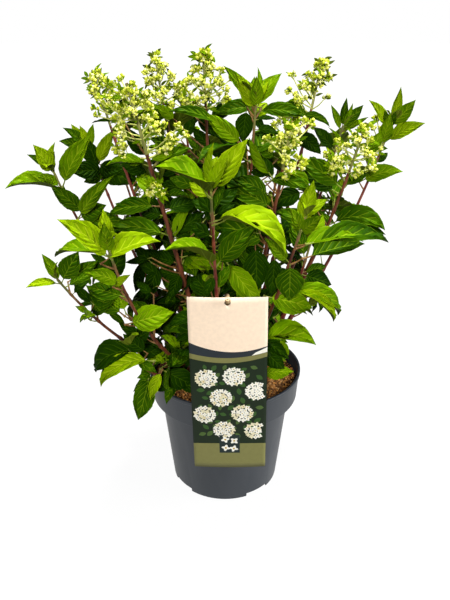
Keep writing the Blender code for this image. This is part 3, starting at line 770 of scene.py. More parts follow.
def leaf_frames(leaf, stations):
    """Midrib point, heading and upper face at each station of the blade, which bends as it goes."""
    side = leaf.heading.cross(leaf.face)
    point = leaf.root + leaf.heading * leaf.length * PETIOLE
    blade = leaf.length * (1 - PETIOLE)
    frames, done = [(point.copy(), leaf.heading, leaf.face)], 0.0
    for station in stations:
        middle = Matrix.Rotation(-leaf.droop * (done + station) / 2, 3, side)
        point = point + middle @ leaf.heading * blade * (station - done)
        turn = Matrix.Rotation(-leaf.droop * station, 3, side)
        frames.append((point.copy(), turn @ leaf.heading, turn @ leaf.face))
        done = station
    return frames


def tree_of(points):
    """A search tree that finds the nearest of these points."""
    tree = kdtree.KDTree(len(points))
    for i, point in enumerate(points):
        tree.insert(point, i)
    tree.balance()
    return tree


def standing_points(name):
    """The corners of a packed mass, to tell which of its twigs and leaves stand."""
    return tree_of([corner.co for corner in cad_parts["foliage_" + name].data.vertices])


def stands(tree, point):
    """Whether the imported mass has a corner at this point."""
    return tree.find(point)[2] < SAME_PLACE


def blade_pattern(roots, ends):
    """One flat blade of unit length: a grid whose rows follow the side veins, closed below.

    The last two columns of its points map it flat: the number of the vein, whole on each vein and
    a half between two, and how far out the point lies, from -1 to 1."""
    rows = [(0, 0, 0, 0, 0), (0.008, 0.09, 0, 0, 0.4), (0.016, 0.19, 0.4, 0, 0.7)]
    for i, (root, end) in enumerate(zip(roots, ends)):
        after_root = roots[i + 1] if i + 1 < len(roots) else 0.93
        after_end = ends[i + 1] if i + 1 < len(ends) else 0.985
        rows.append((root - VEIN_HALF, end - VEIN_HALF, 0, -0.02, i + 0.97))
        rows.append((root + VEIN_HALF, end + VEIN_HALF, 0, 0.035, i + 1.03))
        rows.append(((root + after_root) / 2, (end + after_end) / 2, 1, 0.012, i + 1.5))
    rows.append((1, 1, 0, 0, len(roots) + 2))
    last = len(rows) - 1

    def corner(row, t, below):
        root, end, panel, tooth, _ = rows[row]
        share = root + (end - root) * abs(t) ** 1.45
        width = leaf_width(min(share, 1.0)) * t * (1 + tooth if abs(t) == 1 else 1)
        rise = PANEL_RISE * panel * (1 if 0.3 < abs(t) < 0.8 else 0.25)
        drop = BLADE_DEPTH * (1 - abs(t)) * min(1, 6 * share, 8 * (1 - share))
        return share, width, -drop if below else (rise if abs(t) < 1 else 0)

    bm = bmesh.new()
    vein, out = bm.verts.layers.float.new("vein"), bm.verts.layers.float.new("out")
    columns = (-1, -0.54, -MIDRIB_HALF, MIDRIB_HALF, 0.54, 1)
    for below, across_it in ((False, columns), (True, (-1, 0, 1))):
        strips = len(across_it) - 1
        new = bmesh.ops.create_grid(bm, x_segments=strips, y_segments=last, size=0.5)["verts"]
        for face in {face for vert in new for face in vert.link_faces}:
            middle = face.calc_center_median()
            column, row = int((middle.x + 0.5) * strips), int((middle.y + 0.5) * last)
            ribs = column == 2 or (row > 2 and row % 3 == 0)
            face.material_index = 2 if below else (1 if ribs else 0)
        for vert in new:
            column, row = round((vert.co.x + 0.5) * strips), round((vert.co.y + 0.5) * last)
            vert.co = corner(row, across_it[column], below)
            vert[vein], vert[out] = rows[row][4], across_it[column]
    bmesh.ops.remove_doubles(bm, verts=bm.verts, dist=1e-5)
    bmesh.ops.recalc_face_normals(bm, faces=bm.faces)
    slots = [face.material_index for face in bm.faces]
    maps = np.array([(vert[vein], vert[out]) for vert in bm.verts])
    points, faces = as_arrays(bm)
    return np.hstack((points, maps)), faces, slots


class Blade:
    """How one leaf's blade is bent beyond its rule: fold, twist, curled and waving margins."""

    STATIONS = tuple(i / 14 for i in range(1, 15))

    def __init__(self, seed, lively=1.0, fold=None, breadth=1.0):
        draw = random.Random(seed)
        self.half = HALF_WIDTH * breadth * draw.uniform(0.86, 1.0)
        self.fold = math.radians(LEAF_FOLD + draw.uniform(-4, 26) if fold is None else fold)
        self.roll = math.radians(draw.uniform(-24, 24)) * lively
        self.twist = math.radians(draw.uniform(-24, 24)) * lively
        self.curl = draw.uniform(0.04, 0.2) * lively
        self.nod = draw.uniform(0.05, 0.55) * lively
        self.wave = draw.uniform(0.03, 0.09) * lively
        self.phase = draw.uniform(0, math.tau)
        self.sway = draw.uniform(-0.05, 0.05) * lively

    def bend(self, pattern, leaf):
        """The pattern laid along the leaf's midrib."""
        points, faces, slots = pattern
        stations = (0.0, *self.STATIONS)
        frames = leaf_frames(leaf, self.STATIONS)
        spread = [np.array([part[i] for part in frames]) for i in range(3)]
        share = np.clip(points[:, 0], 0, 1)
        middle, heading, face = (
            np.stack([np.interp(share, stations, column) for column in part.T], axis=1)
            for part in spread)
        side = np.cross(face, heading)
        turn = (self.roll + self.twist * share)[:, None]
        side, face = (side * np.cos(turn) + face * np.sin(turn),
                      face * np.cos(turn) - side * np.sin(turn))
        half = self.half * leaf.length
        width = points[:, 1] * half
        edge = np.abs(points[:, 1])
        fold = self.fold * (1 - 0.45 * share)
        waving = self.wave * np.sin(2.3 * math.tau * share + self.phase + (points[:, 1] > 0) * 2)
        rise = np.abs(width) * np.sin(fold) + (waving * edge ** 2 - self.curl * edge ** 3) * half
        rise = rise + (points[:, 2] - self.nod * np.clip(share - 0.5, 0, 1) ** 2) * leaf.length
        sideways = width * np.cos(fold) + self.sway * half * np.sin(share * math.pi)
        return middle + side * sideways[:, None] + face * rise[:, None], faces, slots, points[:, 3:]


def stalk(leaf, thickness=1.0):
    """The leaf's stalk, from inside the cane to the foot of the blade, thicker at its root."""
    start = leaf.root - leaf.heading * 0.5 * MM
    end = leaf.root + leaf.heading * leaf.length * (PETIOLE + 0.03) - leaf.face * 0.3 * MM
    sag = leaf.face * leaf.length * 0.008
    line = [start.lerp(end, t) - sag * math.sin(t * math.pi) for t, _ in STALK_SWELLS]
    width = min(0.016 * leaf.length, 0.85 * MM) * thickness
    return limb(line, [width * swell for _, swell in STALK_SWELLS], 6)


def leaf_finish(name, dark, light, vein, roughness):
    """A green skin: broad drifts of tone, paler fine veins, a pale rim along the edge that is a painted
    highlight, and a netted grain.
    """
    made = finish(name, light, roughness, 0.02)
    shader_input(made, "Specular Tint").default_value = (0.7, 1, 0.2, 1)
    mottle(made, speckle(made, 38, detail=4), dark, light, 0.3, 0.7)
    flat_map = add_node(made, "UVMap")
    flat_map.uv_map = "blade"
    across_and_out = flat_map.outputs["UV"]
    ribs = add_node(made, "TexWave", Vector=across_and_out, Scale=math.pi / 10, Distortion=0.7,
                    Detail=2, Detail_Scale=1.5)
    line = add_node(made, "MapRange", Value=ribs.outputs["Fac"], From_Min=0, From_Max=0.12,
                    To_Min=0.5, To_Max=0)
    parts = add_node(made, "SeparateXYZ", Vector=across_and_out)
    outness = add_node(made, "Math", Value=parts.outputs["Y"])
    outness.operation = "ABSOLUTE"
    # Painted highlight: the colour pales towards the blade's edge.
    painted_edge_highlight = add_node(made, "MapRange", Value=outness.outputs["Value"], From_Min=0.93, From_Max=1,
                      To_Min=0, To_Max=0.5)
    pale = add_node(made, "Math", Value=line.outputs["Result"])
    pale.operation = "MAXIMUM"
    blend = add_node(made, "Mix")
    blend.data_type = "RGBA"
    share, skin, veins, blended = *(blend.inputs[i] for i in (0, 6, 7)), blend.outputs[2]
    veins.default_value = (*vein, 1)
    links, colour = made.node_tree.links, shader_input(made, "Base Color")
    links.new(painted_edge_highlight.outputs["Result"], pale.inputs[1])
    links.new(pale.outputs["Value"], share)
    links.new(colour.links[0].from_socket, skin)
    links.new(blended, colour)
    roughen(made, speckle(made, 150), roughness - 0.07, roughness + 0.1)
    emboss(made, ribs.outputs["Fac"], 1.2 * MM, 0.5)
    emboss(made, speckle(made, 430, detail=4), 0.6 * MM, 0.6)
    return made


class LeafTone:
    """A joined piece of leaves in one tone, with its finishes for skin, veins and underside."""

    def __init__(self, name, dark, light, vein, below):
        self.name = name
        self.heap = Heap()
        self.finishes = [
            leaf_finish(name + "_skin", dark, light, vein, 0.42),
            leaf_finish(name + "_veins", tuple(0.85 * part for part in vein), vein, vein, 0.45),
            leaf_finish(name + "_underside", tuple(0.8 * part for part in below), below,
                        tuple(0.012 + 2 * part for part in below), 0.6),
        ]

    def add(self, pattern, leaf, seed, lively=1.0, fold=None, breadth=1.0):
        """Adds a leaf's blade, bent in its own way."""
        self.heap.add(*Blade(seed, lively, fold, breadth).bend(pattern, leaf))


# Four tones of leaf. The sunlit tone is a lit copy of the green, painted light, and the shaded tone is
# a shaded copy, painted shade. The pale undersides are partly the leaf's own paler underside and partly
# painted light shining through the blade.
tones = [
    LeafTone("young_leaves", (0.12, 0.21, 0.0008), (0.23, 0.35, 0.001), (0.34, 0.44, 0.012),
             (0.17, 0.225, 0.016)),
    LeafTone("sunlit_leaves", (0.05, 0.127, 0.0004), (0.14, 0.258, 0.0005), (0.25, 0.35, 0.009),
             (0.115, 0.165, 0.009)),
    LeafTone("mature_leaves", (0.01, 0.042, 0.0002), (0.034, 0.09, 0.0003), (0.125, 0.21, 0.005),
             (0.038, 0.074, 0.0015)),
    LeafTone("shaded_leaves", (0.0035, 0.018, 0.0002), (0.01, 0.037, 0.0002), (0.036, 0.085, 0.0015),
             (0.009, 0.026, 0.0004)),
]
full_blade = blade_pattern(VEIN_ROOTS, VEIN_ENDS)
small_blade = blade_pattern(VEIN_ROOTS[::2], VEIN_ENDS[::2])
stalks = Heap()
LABEL_TOP = 298 * MM
LABEL_MIDDLE = 3 * MM
LABEL_CLEAR = 52 * MM
LABEL_FRONT = -84 * MM
Kept = namedtuple("Kept", "leaf order label stem")
kept_leaves = []

# Some places are read off the photograph, each as its pixel across and down in the frame of 450 by
# 600 and a depth in mm behind the pot's axis. The camera below turns them into millimetres.
CAMERA_PLACE = (0, -0.714, 0.58)
CAMERA_DIP = 24.9
CAMERA_LENS = 39
CAMERA_FILM = 36
PICTURE_HEIGHT = 600
PICTURE_MIDDLE = (225.5, 300)
PICTURE_FOCAL = PICTURE_HEIGHT * CAMERA_LENS / CAMERA_FILM
TIP_PAST = 0.035


def seen_at(across, down, depth):
    """The place, in whole mm, that shows at this pixel and lies at this depth."""
    right = (across - PICTURE_MIDDLE[0]) / PICTURE_FOCAL
    up = (PICTURE_MIDDLE[1] - down) / PICTURE_FOCAL
    dip = math.radians(CAMERA_DIP)
    _, eye_y, eye_z = CAMERA_PLACE
    reach = (depth * MM - eye_y) / (math.cos(dip) + up * math.sin(dip))
    height = eye_z + reach * (up * math.cos(dip) - math.sin(dip))
    return Vector((round(reach * right / MM), depth, round(height / MM)))


def open_place(across, down, wide, high):
    """A round place as its middle and half sizes in mm, on the upright plane through the axis."""
    middle = seen_at(across, down, 0)
    return (middle.x, middle.z, abs(seen_at(across + wide, down, 0).x - middle.x),
            abs(seen_at(across, down + high, 0).z - middle.z))


# The open places of the crown: pixel across and down, and half sizes in pixels
OPENINGS = tuple(open_place(*row) for row in (
    (84, 110, 9, 26), (101, 128, 10, 11), (112, 151, 8, 12), (81, 159, 6, 6),
    (84, 187, 7, 9), (104, 198, 9, 8), (121, 190, 11, 9), (234, 121, 6, 4),
    (128, 265, 7, 9), (130, 290, 7, 8), (157, 284, 5, 6), (78, 338, 9, 19),
    (107, 331, 24, 8), (69, 293, 8, 6), (72, 310, 6, 4), (342, 272, 11, 17),
    (315, 262, 13, 6), (362, 192, 17, 10), (285, 186, 12, 6), (289, 204, 8, 4),
    (303, 151, 13, 8), (334, 110, 6, 14), (130, 372, 8, 6), (299, 318, 17, 6),
    (319, 324, 7, 7), (298, 347, 5, 6), (267, 268, 5, 20), (75, 240, 4, 4),
    (47, 271, 7, 5), (345, 256, 16, 7), (276, 120, 15, 4), (327, 122, 6, 7),
    (101, 137, 8, 3), (287, 186, 10, 4), (100, 205, 4, 4), (266, 252, 3, 5),
))
# The leaves that show in front, under the part of the crown they are in. A row has the places of
# root and tip, the way the upper face looks, bend in degrees, tone, fold in degrees and breadth.
# The tone stands partly for the leaf's age and partly for how it is lit: lighter tones are painted
# light and darker ones are painted shade.
Shown = namedtuple("Shown", "across down depth tip_across tip_down tip_depth face_x face_y face_z"
                   " bend tone fold breadth", defaults=(0.88,))
FRONT_LEAVES = """
At the far left
71 192 -22  6 187 -50  0 -0.2 1  52 1 44 1.1
65 187 -22  90 136 -25  -0.5 -1 0.35  25 1 44 0.84
54 172 -22  28 154 -30  0.2 -0.6 1  20 2 40
54 171 -22  35 145 -40  0.1 -1 0.5  30 0 25 1.1
53 171 -22  53 142 -20  -0.6 -0.8 0.2  10 0 40
53 172 -22  47 151 -5  0.2 -1 0.2  0 0 40
88 215 -19  51 186 -35  0.3 -0.9 0.5  8 2 22 0.82
75 220 -19  111 177 -40  0.1 -1 0.7  30 1 34 0.62
80 217 -15  106 205 -28  0 -1 0.5  10 2 20 1.2
84 219 -15  124 220 -30  0 -1 0.5  10 2 20 0.9
74 208 -20  63 184 -15  -0.4 -1 0.3  10 1 20 0.6
Behind these, at the left
107 170 75  71 171 55  0 -1 0.4  18 3 15 1.2
94 172 66  124 168 60  0 -1 0.5  15 3 15 1.3
106 176 66  84 182 60  0 -1 0.5  15 2 15 1
140 182 40  120 170 40  0 -1 0.5  15 3 15 1
102 160 75  131 184 60  0 -1 0.4  20 3 15 1.2
96 164 75  79 149 70  0.3 -1 0.3  20 3 20
94 172 75  88 140 75  0.1 -1 0.2  5 3 20 1.2
97 166 75  115 130 60  -0.3 -1 0.3  10 0 30 0.75
90 150 77  60 141 70  0.1 -0.7 0.8  20 2 25
89 149 77  64 127 75  0.4 -1 0.5  10 2 35
89 149 77  72 125 85  0.3 -1 0.2  0 0 35
89 149 77  80 126 75  0.3 -1 0.2  0 0 35
90 150 77  93 124 75  -0.6 -1 0.2  10 1 40
Under the plumes at the left
152 166 -40  106 164 -55  0 -0.5 1  44 1 36 0.95
155 166 -40  191 147 -30  0 -0.7 0.8  20 2 25
160 199 -36  190 194 -50  0 -0.6 0.8  40 2 25
162 206 -36  107 214 -25  0 -0.7 0.8  40 2 18 0.75
190 190 0  160 184 10  0 -0.9 0.7  20 3 15 1
150 160 35  126 127 30  -0.2 -1 0.4  15 3 15 1
152 173 25  121 163 25  0 -0.9 0.7  20 3 15 1.1
124 121 -10  92 121 -18  0 -0.7 0.9  15 3 20 0.45
169 121 40  142 106 40  0 -0.9 0.6  20 2 15 1.1
177 121 38  157 104 38  0 -1 0.5  15 1 18 1
178 150 45  150 137 45  0 -0.9 0.6  20 2 15 1
128 327 -60  106 304 -70  -0.3 -1 0.4  15 2 20 0.7
166 236 -32  108 226 -50  0 -0.6 1  30 2 20
171 236 -32  206 211 -10  0.3 -1 0.5  20 3 15
178 240 -30  190 205 -20  -0.5 -1 0.3  10 1 30
Deep at the left
165 262 -10  142 250 -30  0 -1 0.5  20 3 15
160 262 -10  146 301 -40  0.2 -1 0.3  20 3 12
180 268 -20  170 300 -50  0 -1 0.4  20 3 15
190 262 -10  168 245 -10  0 -1 0.4  20 3 15
208 119 20  241 103 20  0 -0.8 0.5  20 3 20
Round the middle cane
254 110 -14  280 72 0  -0.5 -1 0.4  22 1 22 1.25
250 112 -14  225 66 -10  0.9 -0.7 0.3  14 1 42 0.66
253 112 -20  257 78 -30  0.1 -1 0.2  8 1 20 0.9
252 112 -14  238 75 -20  0.3 -1 0.3  22 0 18 0.95
255 113 -14  254 77 0  -0.4 -1 0.2  10 1 40
256 110 -8  261 68 0  0.6 -0.8 0  0 1 40 0.65
250 112 -13  305 116 -35  0.2 -0.7 0.8  42 2 22 0.92
222 126 -25  170 109 -35  -0.2 -0.7 0.9  35 2 26 0.75
244 146 -20  205 113 -28  -0.4 -0.9 0.6  40 1 24 0.72
262 107 -2  215 113 5  0 -0.6 0.9  22 2 20 1
247 107 -5  243 142 -12  -0.2 -1 0.3  10 3 15 1.3
251 114 -5  267 131 0  0.2 -1 0.4  10 3 15 1
214 151 25  192 128 30  -0.2 -1 0.5  15 3 18 1
201 153 35  187 134 35  0 -1 0.4  10 2 20 1
195 116 25  218 137 20  0 -1 0.4  10 3 20 1
208 152 10  230 155 10  0 -1 0.4  10 3 20 1
247 150 30  216 134 30  0 -0.8 0.7  20 3 15 1
290 142 20  255 133 15  0 -0.8 0.7  20 3 15 0.8
182 140 35  196 118 40  0 -1 0.3  5 3 20 1
262 150 20  244 140 20  0 -1 0.5  5 3 15 1
254 130 -13  277 132 0  0 -0.7 0.6  30 3 20
248 240 -10  246 277 -60  0.1 -1 0.4  30 3 10
224 258 -60  262 306 -85  -0.2 -1 0.4  12 1 12 0.85
256 242 -60  258 292 -70  0 -1 0.3  10 3 10 1.1
276 252 -60  271 296 -66  0 -1 0.3  10 3 10 1
In front of the middle
212 192 -127  212 144 -125  -0.6 -0.8 0.3  8 0 38
213 192 -127  227 157 -140  -0.3 -1 0.5  30 0 35
213 198 -127  163 162 -179  0.2 -0.3 1  20 1 44 1
213 196 -127  247 140 -115  -0.6 -1 0.25  12 0 26
210 197 -120  189 182 -105  0 -0.8 0.8  20 0 10
211 218 -121  198 187 -112  0.5 -1 0.2  10 3 18
213 218 -121  225 184 -110  -0.7 -0.8 0.2  10 2 35
214 269 -100  165 250 -132  0 -0.3 1  65 1 40 1.1
214 223 -116  288 252 -156  0.1 -0.3 1  92 0 36 0.95
206 222 -118  263 215 -128  0 -0.3 1  20 0 50 0.7
262 250 -40  246 231 -45  0 -1 0.4  10 3 15 1.2
258 211 -30  220 198 -30  0 -1 0.4  10 3 15 1.1
204 222 -60  224 200 -60  0 -1 0.4  10 3 15 1.3
216 268 -100  257 226 -105  -0.3 -0.8 0.6  35 2 15
215 272 -97  204 297 -110  0.2 -1 0.3  10 3 12
218 292 -90  231 264 -80  -0.6 -1 0.2  10 2 30
Right of the middle
274 210 -55  226 190 -55  0 -0.6 0.9  40 2 20
266 182 -60  310 191 -75  0 -0.4 1  60 2 18 0.85
292 167 -30  309 190 -45  0 -1 0.5  20 1 15 1.1
274 172 -20  250 173 -15  0 -1 0.6  20 3 12 1
273 180 -30  263 156 -30  0 -1 0.4  10 3 12 1
338 193 0  301 171 5  0 -1 0.5  20 3 10 1.1
272 196 -45  234 178 -55  -0.2 -0.9 0.7  35 2 20 1.1
306 191 -20  270 205 -30  0 -0.9 0.7  30 3 18 1.05
141 258 0  137 293 -5  0.2 -1 0.3  15 3 15 0.8
156 258 0  141 272 -5  0 -1 0.5  15 3 15 1
274 180 -50  250 139 -40  -0.8 -0.7 0.2  10 1 40
340 189 -17  300 160 -10  -0.2 -0.8 0.7  42 2 25 1
342 188 -17  371 166 -5  0 -0.7 0.7  20 2 35
322 222 -16  387 229 -40  0 -0.3 1  76 2 34 1
At the right, low in front
306 244 -104  389 240 -60  0 -0.45 1  34 2 36 0.68
302 259 -90  364 243 -60  0 -0.5 1  14 2 36 1.05
304 236 -104  321 217 -125  0 -1 0.5  20 1 25
303 237 -104  291 209 -125  0.2 -1 0.5  25 1 22
304 233 -105  314 181 -95  -0.2 -1 0.3  12 0 18
286 262 -92  266 239 -100  0.2 -1 0.4  20 1 25
285 258 -88  289 300 -95  0.1 -1 0.5  20 2 10 1.5
284 290 -76  343 314 -60  0.3 -0.6 1  78 1 30 0.6
288 290 -76  338 322 -80  0.5 -0.7 1  80 0 34 0.56
264 296 -72  312 308 -72  0 -1 0.6  30 1 16 1.25
280 338 -60  289 355 -66  -0.2 -1 0.4  15 1 20 0.9
Low at the right
262 348 -55  285 369 -60  -0.2 -1 0.3  20 3 10 1.2
260 373 -55  294 371 -60  0 -0.9 0.6  25 1 12 1
260 342 -65  318 342 -95  0 -0.4 1  65 1 34 1.15
262 340 -60  290 358 -80  0 -1 0.6  20 3 15
300 272 -48  332 284 -50  0 -1 0.6  30 3 12 1.3
302 272 -50  326 266 -30  0 -0.9 0.5  20 2 15
274 318 -45  308 313 -60  0 -0.1 1  75 2 45
At the left, low in front
107 255 -119  103 210 -100  0.1 -1 0.3  10 0 18
107 255 -119  104 223 -135  0 -1 0.5  25 1 20
110 259 -116  60 220 -148  0.2 -0.8 0.8  30 0 26 0.92
101 264 -116  160 240 -105  -0.1 -0.5 1  42 0 40 1.15
106 257 -115  54 254 -105  0 -0.45 1  60 1 36 1.25
119 284 -110  86 272 -135  0.1 -0.8 0.7  30 1 20
104 284 -95  125 250 -80  -0.1 -1 0.3  10 3 14 1.1
112 266 -85  91 254 -80  0 -1 0.4  10 3 14 0.8
108 273 -85  90 262 -80  0 -1 0.4  10 3 14 1.1
126 316 -90  87 286 -90  0.1 -1 0.5  18 2 18 1
127 314 -88  114 281 -85  0.1 -1 0.4  10 1 18 1.1
113 287 -110  130 275 -120  0 -0.8 0.7  20 0 20 0.7
127 298 -105  88 287 -90  0 -1 0.6  50 2 15
126 325 -100  174 311 -95  0 -1 0.4  24 1 15 1.15
141 349 -95  94 372 -90  0 -0.4 1  72 3 30 1.1
Over the rim at the left
133 350 -98  151 321 -90  -0.3 -1 0.3  10 3 15
156 361 -93  98 387 -115  0 -0.4 1  98 0 32 0.72
152 263 -30  134 245 -30  0 -1 0.5  15 3 14 1
162 277 -20  139 261 -20  0 -1 0.5  15 3 14 1
Deep behind the front
166 207 0  140 198 0  0 -1 0.5  15 3 14 1
198 187 0  170 178 0  0 -1 0.5  15 2 14 1
180 175 10  154 165 10  0 -1 0.5  15 3 14 1
278 159 0  256 146 0  0 -1 0.5  15 2 14 1
144 337 -75  119 324 -75  0 -1 0.5  15 3 14 1
154 295 -60  136 282 -60  0 -1 0.5  15 3 14 0.9
154 313 -70  130 302 -70  0 -1 0.5  15 2 14 1
148 354 -100  124 335 -102  0 -1 0.4  10 3 15 1.2
156 377 -80  134 391 -92  0 -1 0.5  15 2 14 1
161 369 -80  197 387 -72  0 -1 0.5  15 3 14 1.25
163 367 -80  193 350 -72  0 -1 0.5  15 3 14 1.1
172 352 -70  140 337 -70  0 -1 0.4  10 3 15 1.1
140 358 -93  157 372 -110  0.2 -1 0.6  40 2 15
163 369 -84  149 400 -100  -0.3 -1 0.4  25 0 14 0.85
147 371 -78  138 420 -98  0.2 -1 0.3  24 2 22 0.9
156 371 -80  138 378 -95  0 -1 0.5  20 2 15 1
Low at the far left
66 282 -107  43 254 -105  0.3 -1 0.4  15 1 18 0.8
94 304 -96  74 284 -98  0 -1 0.4  15 3 15 0.8
62 284 -107  27 287 -125  0 -0.6 1  40 0 18
65 282 -105  79 252 -100  -0.2 -1 0.3  20 2 8 1.3
68 282 -95  98 261 -90  0 -0.8 0.6  30 2 16
66 286 -104  98 272 -95  0 -0.7 0.8  30 2 20
72 294 -101  90 280 -90  0 -0.8 0.6  30 3 20
94 314 -98  76 306 -100  0 -0.8 0.7  30 1 15
94 314 -98  80 322 -110  0 -0.8 0.7  30 1 15
Under the plumes at the right
297 116 60  331 126 55  0.1 -0.6 1  60 2 24 0.7
300 134 50  322 154 45  0.3 -1 0.3  12 3 15 1.1
362 150 20  388 148 25  0 -0.9 0.6  15 2 20 1
366 158 10  384 130 15  -0.3 -1 0.2  5 1 20 0.9
304 118 60  283 103 40  0 -0.7 0.8  30 2 20
297 131 57  321 152 50  0 -1 0.4  20 3 15 1.1
At the far right
398 127 22  402 88 15  -0.1 -1 0.2  5 0 28 0.65
384 147 21  391 115 8  -0.2 -1 0.3  10 1 20 0.9
391 129 22  415 101 10  0.1 -1 0.4  12 1 26 0.95
385 142 21  424 122 0  0.1 -0.9 0.7  28 0 26 0.82
390 130 21  372 100 10  0.3 -1 0.3  8 0 28 0.8
390 130 22  386 111 10  0.2 -1 0.3  10 2 25
391 129 22  396 112 10  -0.4 -1 0.3  10 2 30
360 182 20  403 170 0  0 -0.7 0.9  36 1 20 1.1
376 165 21  389 152 30  0 -1 0.5  20 3 20
Behind these, at the right
343 132 62  332 105 62  0.5 -1 0.2  10 1 30 0.62
345 131 62  347 98 62  -0.5 -1 0.2  5 2 26 0.6
348 131 62  354 104 60  0.2 -1 0.2  5 1 26 0.5
344 131 62  363 105 62  0 -1 0.4  15 2 22
346 134 62  369 117 50  0 -0.8 0.6  20 1 40 0.5
348 152 58  330 127 50  0.5 -1 0.3  14 1 42 0.42
335 152 58  314 127 50  0.4 -1 0.5  20 3 20
Between the others
158 286 -30  135 297 -35  0 -1 0.5  15 3 14 1
152 258 -30  126 263 -35  0 -1 0.5  15 3 14 0.7
164 217 -34  140 211 -8  0 -1 0.5  15 3 14 1
163 211 -35  198 200 -5  0 -1 0.5  15 3 14 1
171 240 -30  202 226 -5  0 -1 0.5  15 3 14 1
177 264 -28  150 255 -8  0 -1 0.5  15 3 14 1.1
181 278 -26  156 270 -8  0 -1 0.5  15 3 14 0.8
214 238 -90  190 224 -80  0 -1 0.5  15 3 14 1.1
213 214 -90  192 198 -80  0 -1 0.5  15 3 14 1
213 206 -90  238 190 -80  0 -1 0.5  15 3 14 1.1
214 216 -90  236 204 -80  0 -1 0.5  15 3 14 0.8
214 244 -90  238 230 -80  0 -1 0.5  15 3 14 0.9
301 254 -100  364 236 -90  0 -0.5 1  30 1 36 0.95
66 187 -22  38 175 -40  0 -0.5 1  20 1 30 1
252 119 -10  277 118 0  0 -0.7 0.9  15 3 15 0.8
"""
# The rule's leaves that are left off each cane, by their order from the tip and their side
LEFT_OFF = {
    "far_left": "00 01 10 11 20 21 31 50",
    "left_leafy": "00 01 10 11",
    "front_left_plume": "10 11 20 21 30 31",
    "centre_plume": "11 20 21",
    "centre_leafy": "00 01 10 11 41",
    "front_centre": "00 01 10 11 20 21 30 31",
    "mid_right_plume": "10 11 20 21",
    "right_low_plume": "10 11 21 31 50",
    "front_right": "00 01 10 11 20 21 30 40 51",
    "low_right": "21 30",
    "front_left_low": "00 01 10 11 20 21 30 31",
    "low_left": "00 10 11 21",
    "front_left_far": "00 01 10 11",
    "right_plume": "10 11",
    "far_right": "00 01 10 11 20 21",
    "right_leafy": "00 01 10 11",
    "back_far_right": "40",
    "left_plume": "11",
    "mid_left_leafy": "11",
}
# By order from the tip: young at the tip, then darker down the cane, partly with age and partly as
# painted shade deep in the crown.
TONE_BY_ORDER = (YOUNG, PAINTED_SUNLIT, PAINTED_SUNLIT, MATURE, MATURE, PAINTED_SHADE, PAINTED_SHADE)
CROWN_EDGE = 125 * MM
CROWN_FRONT = -70 * MM
CROWN_SIDE = 130 * MM
SHADE_CHANCE = 0.7
MOUTH_ABOVE = 3 * MM
MOUTH_BESIDE = 5 * MM
LABEL_ABOVE = 6 * MM
SPUR_GAP = 9 * MM


def in_opening(point, openings):
    """Whether the line of sight through a point from the camera passes an open place."""
    eye = Vector(CAMERA_PLACE)
    seen = (eye + (point - eye) * (eye.y / (eye.y - point.y))) / MM
    return any(math.hypot((seen.x - x) / wide, (seen.z - z) / high) < 1
               for x, z, wide, high in openings)


def tone_of(order, leaf, seed):
    """The tone of a leaf by its place on the cane. A leaf at the outside of the crown is lighter,
    painted light, and most leaves within the crown are darker, painted shade.
    """
    draw = random.Random(seed + " tone")
    tip = leaf.root + leaf.heading * leaf.length
    # Painted light: a leaf whose tip lies out past the crown's edge takes a lighter tone.
    outside = 1 if math.hypot(tip.x, tip.y) > CROWN_EDGE else 0
    tone = TONE_BY_ORDER[min(order, 6)] + draw.choice((-1, 0, 0, 0, 1)) - outside
    # Painted shade: most leaves within the crown take a darker tone.
    within = tip.y > CROWN_FRONT and abs(tip.x) < CROWN_SIDE
    shade = 1 if within and draw.random() < SHADE_CHANCE else 0
    return tones[max(YOUNG, min(tone + shade, PAINTED_SHADE))]


def hangs_clear(leaf):
    """Whether a leaf stays out of the pot's mouth and the open places, and beside the label."""
    for point, _, _ in leaf_frames(leaf, (0.4, 0.7, 1.0)):
        over_pot = math.hypot(point.x, point.y) < RIM_RADIUS + MOUTH_BESIDE
        if over_pot and point.z < POT_HEIGHT + MOUTH_ABOVE:
            return False
        over_label = abs(point.x - LABEL_MIDDLE) <= LABEL_CLEAR and point.y < LABEL_FRONT
        if over_label and point.z < LABEL_TOP + LABEL_ABOVE:
            return False
    side = leaf.heading.cross(leaf.face) * leaf.length * BLADE_SIDE
    return not any(in_opening(point + shift, OPENINGS) for shift in (Vector(), side, -side)
                   for point, _, _ in leaf_frames(leaf, (0.3, 0.5, 0.7, 0.9)))


def keep_pair(tree, label, rank, axis, along, azimuth, size):
    """Both leaves of a node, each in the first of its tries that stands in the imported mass."""
    root, stem = axis.at(along), axis.heading(along)
    for side in (0, 1):
        for leaf in leaf_tries(label, rank, side, root, stem, azimuth + side * math.pi, size):
            if stands(tree, leaf_frames(leaf, (*LEAF_STATIONS, 1.0))[-1][0]):
                if hangs_clear(leaf) and f"{rank}{side}" not in LEFT_OFF.get(label, ""):
                    kept_leaves.append(Kept(leaf, rank, f"{label} {rank} {side}", stem))
                break


for one in grown:
    tree = standing_points(one.cane.name)
    for rank, along in enumerate(one.places):
        order = rank + 1 if one.plume else rank
        keep_pair(tree, one.cane.name, order, one.axis, along, one.azimuth(rank),
                  one.cane.leaf * MM)
    for shoot, axis, azimuth in one.shoots:
        label = f"{one.cane.name} shoot {shoot.node}"
        places = node_places(axis, SHOOT_PAIRS, shoot.plume * MM, 8 * MM)
        for rank, along in enumerate(places, 1):
            keep_pair(tree, label, rank, axis, along, azimuth + rank * math.pi / 2,
                      shoot.leaf * MM)

for kept in kept_leaves:
    blade = full_blade if kept.leaf.length > LARGE_LEAF else small_blade
    tone_of(kept.order, kept.leaf, kept.label).add(blade, kept.leaf, kept.label)
    stalks.add(*stalk(kept.leaf), random.Random(kept.label + " stalk").choice(STALK_MIX))

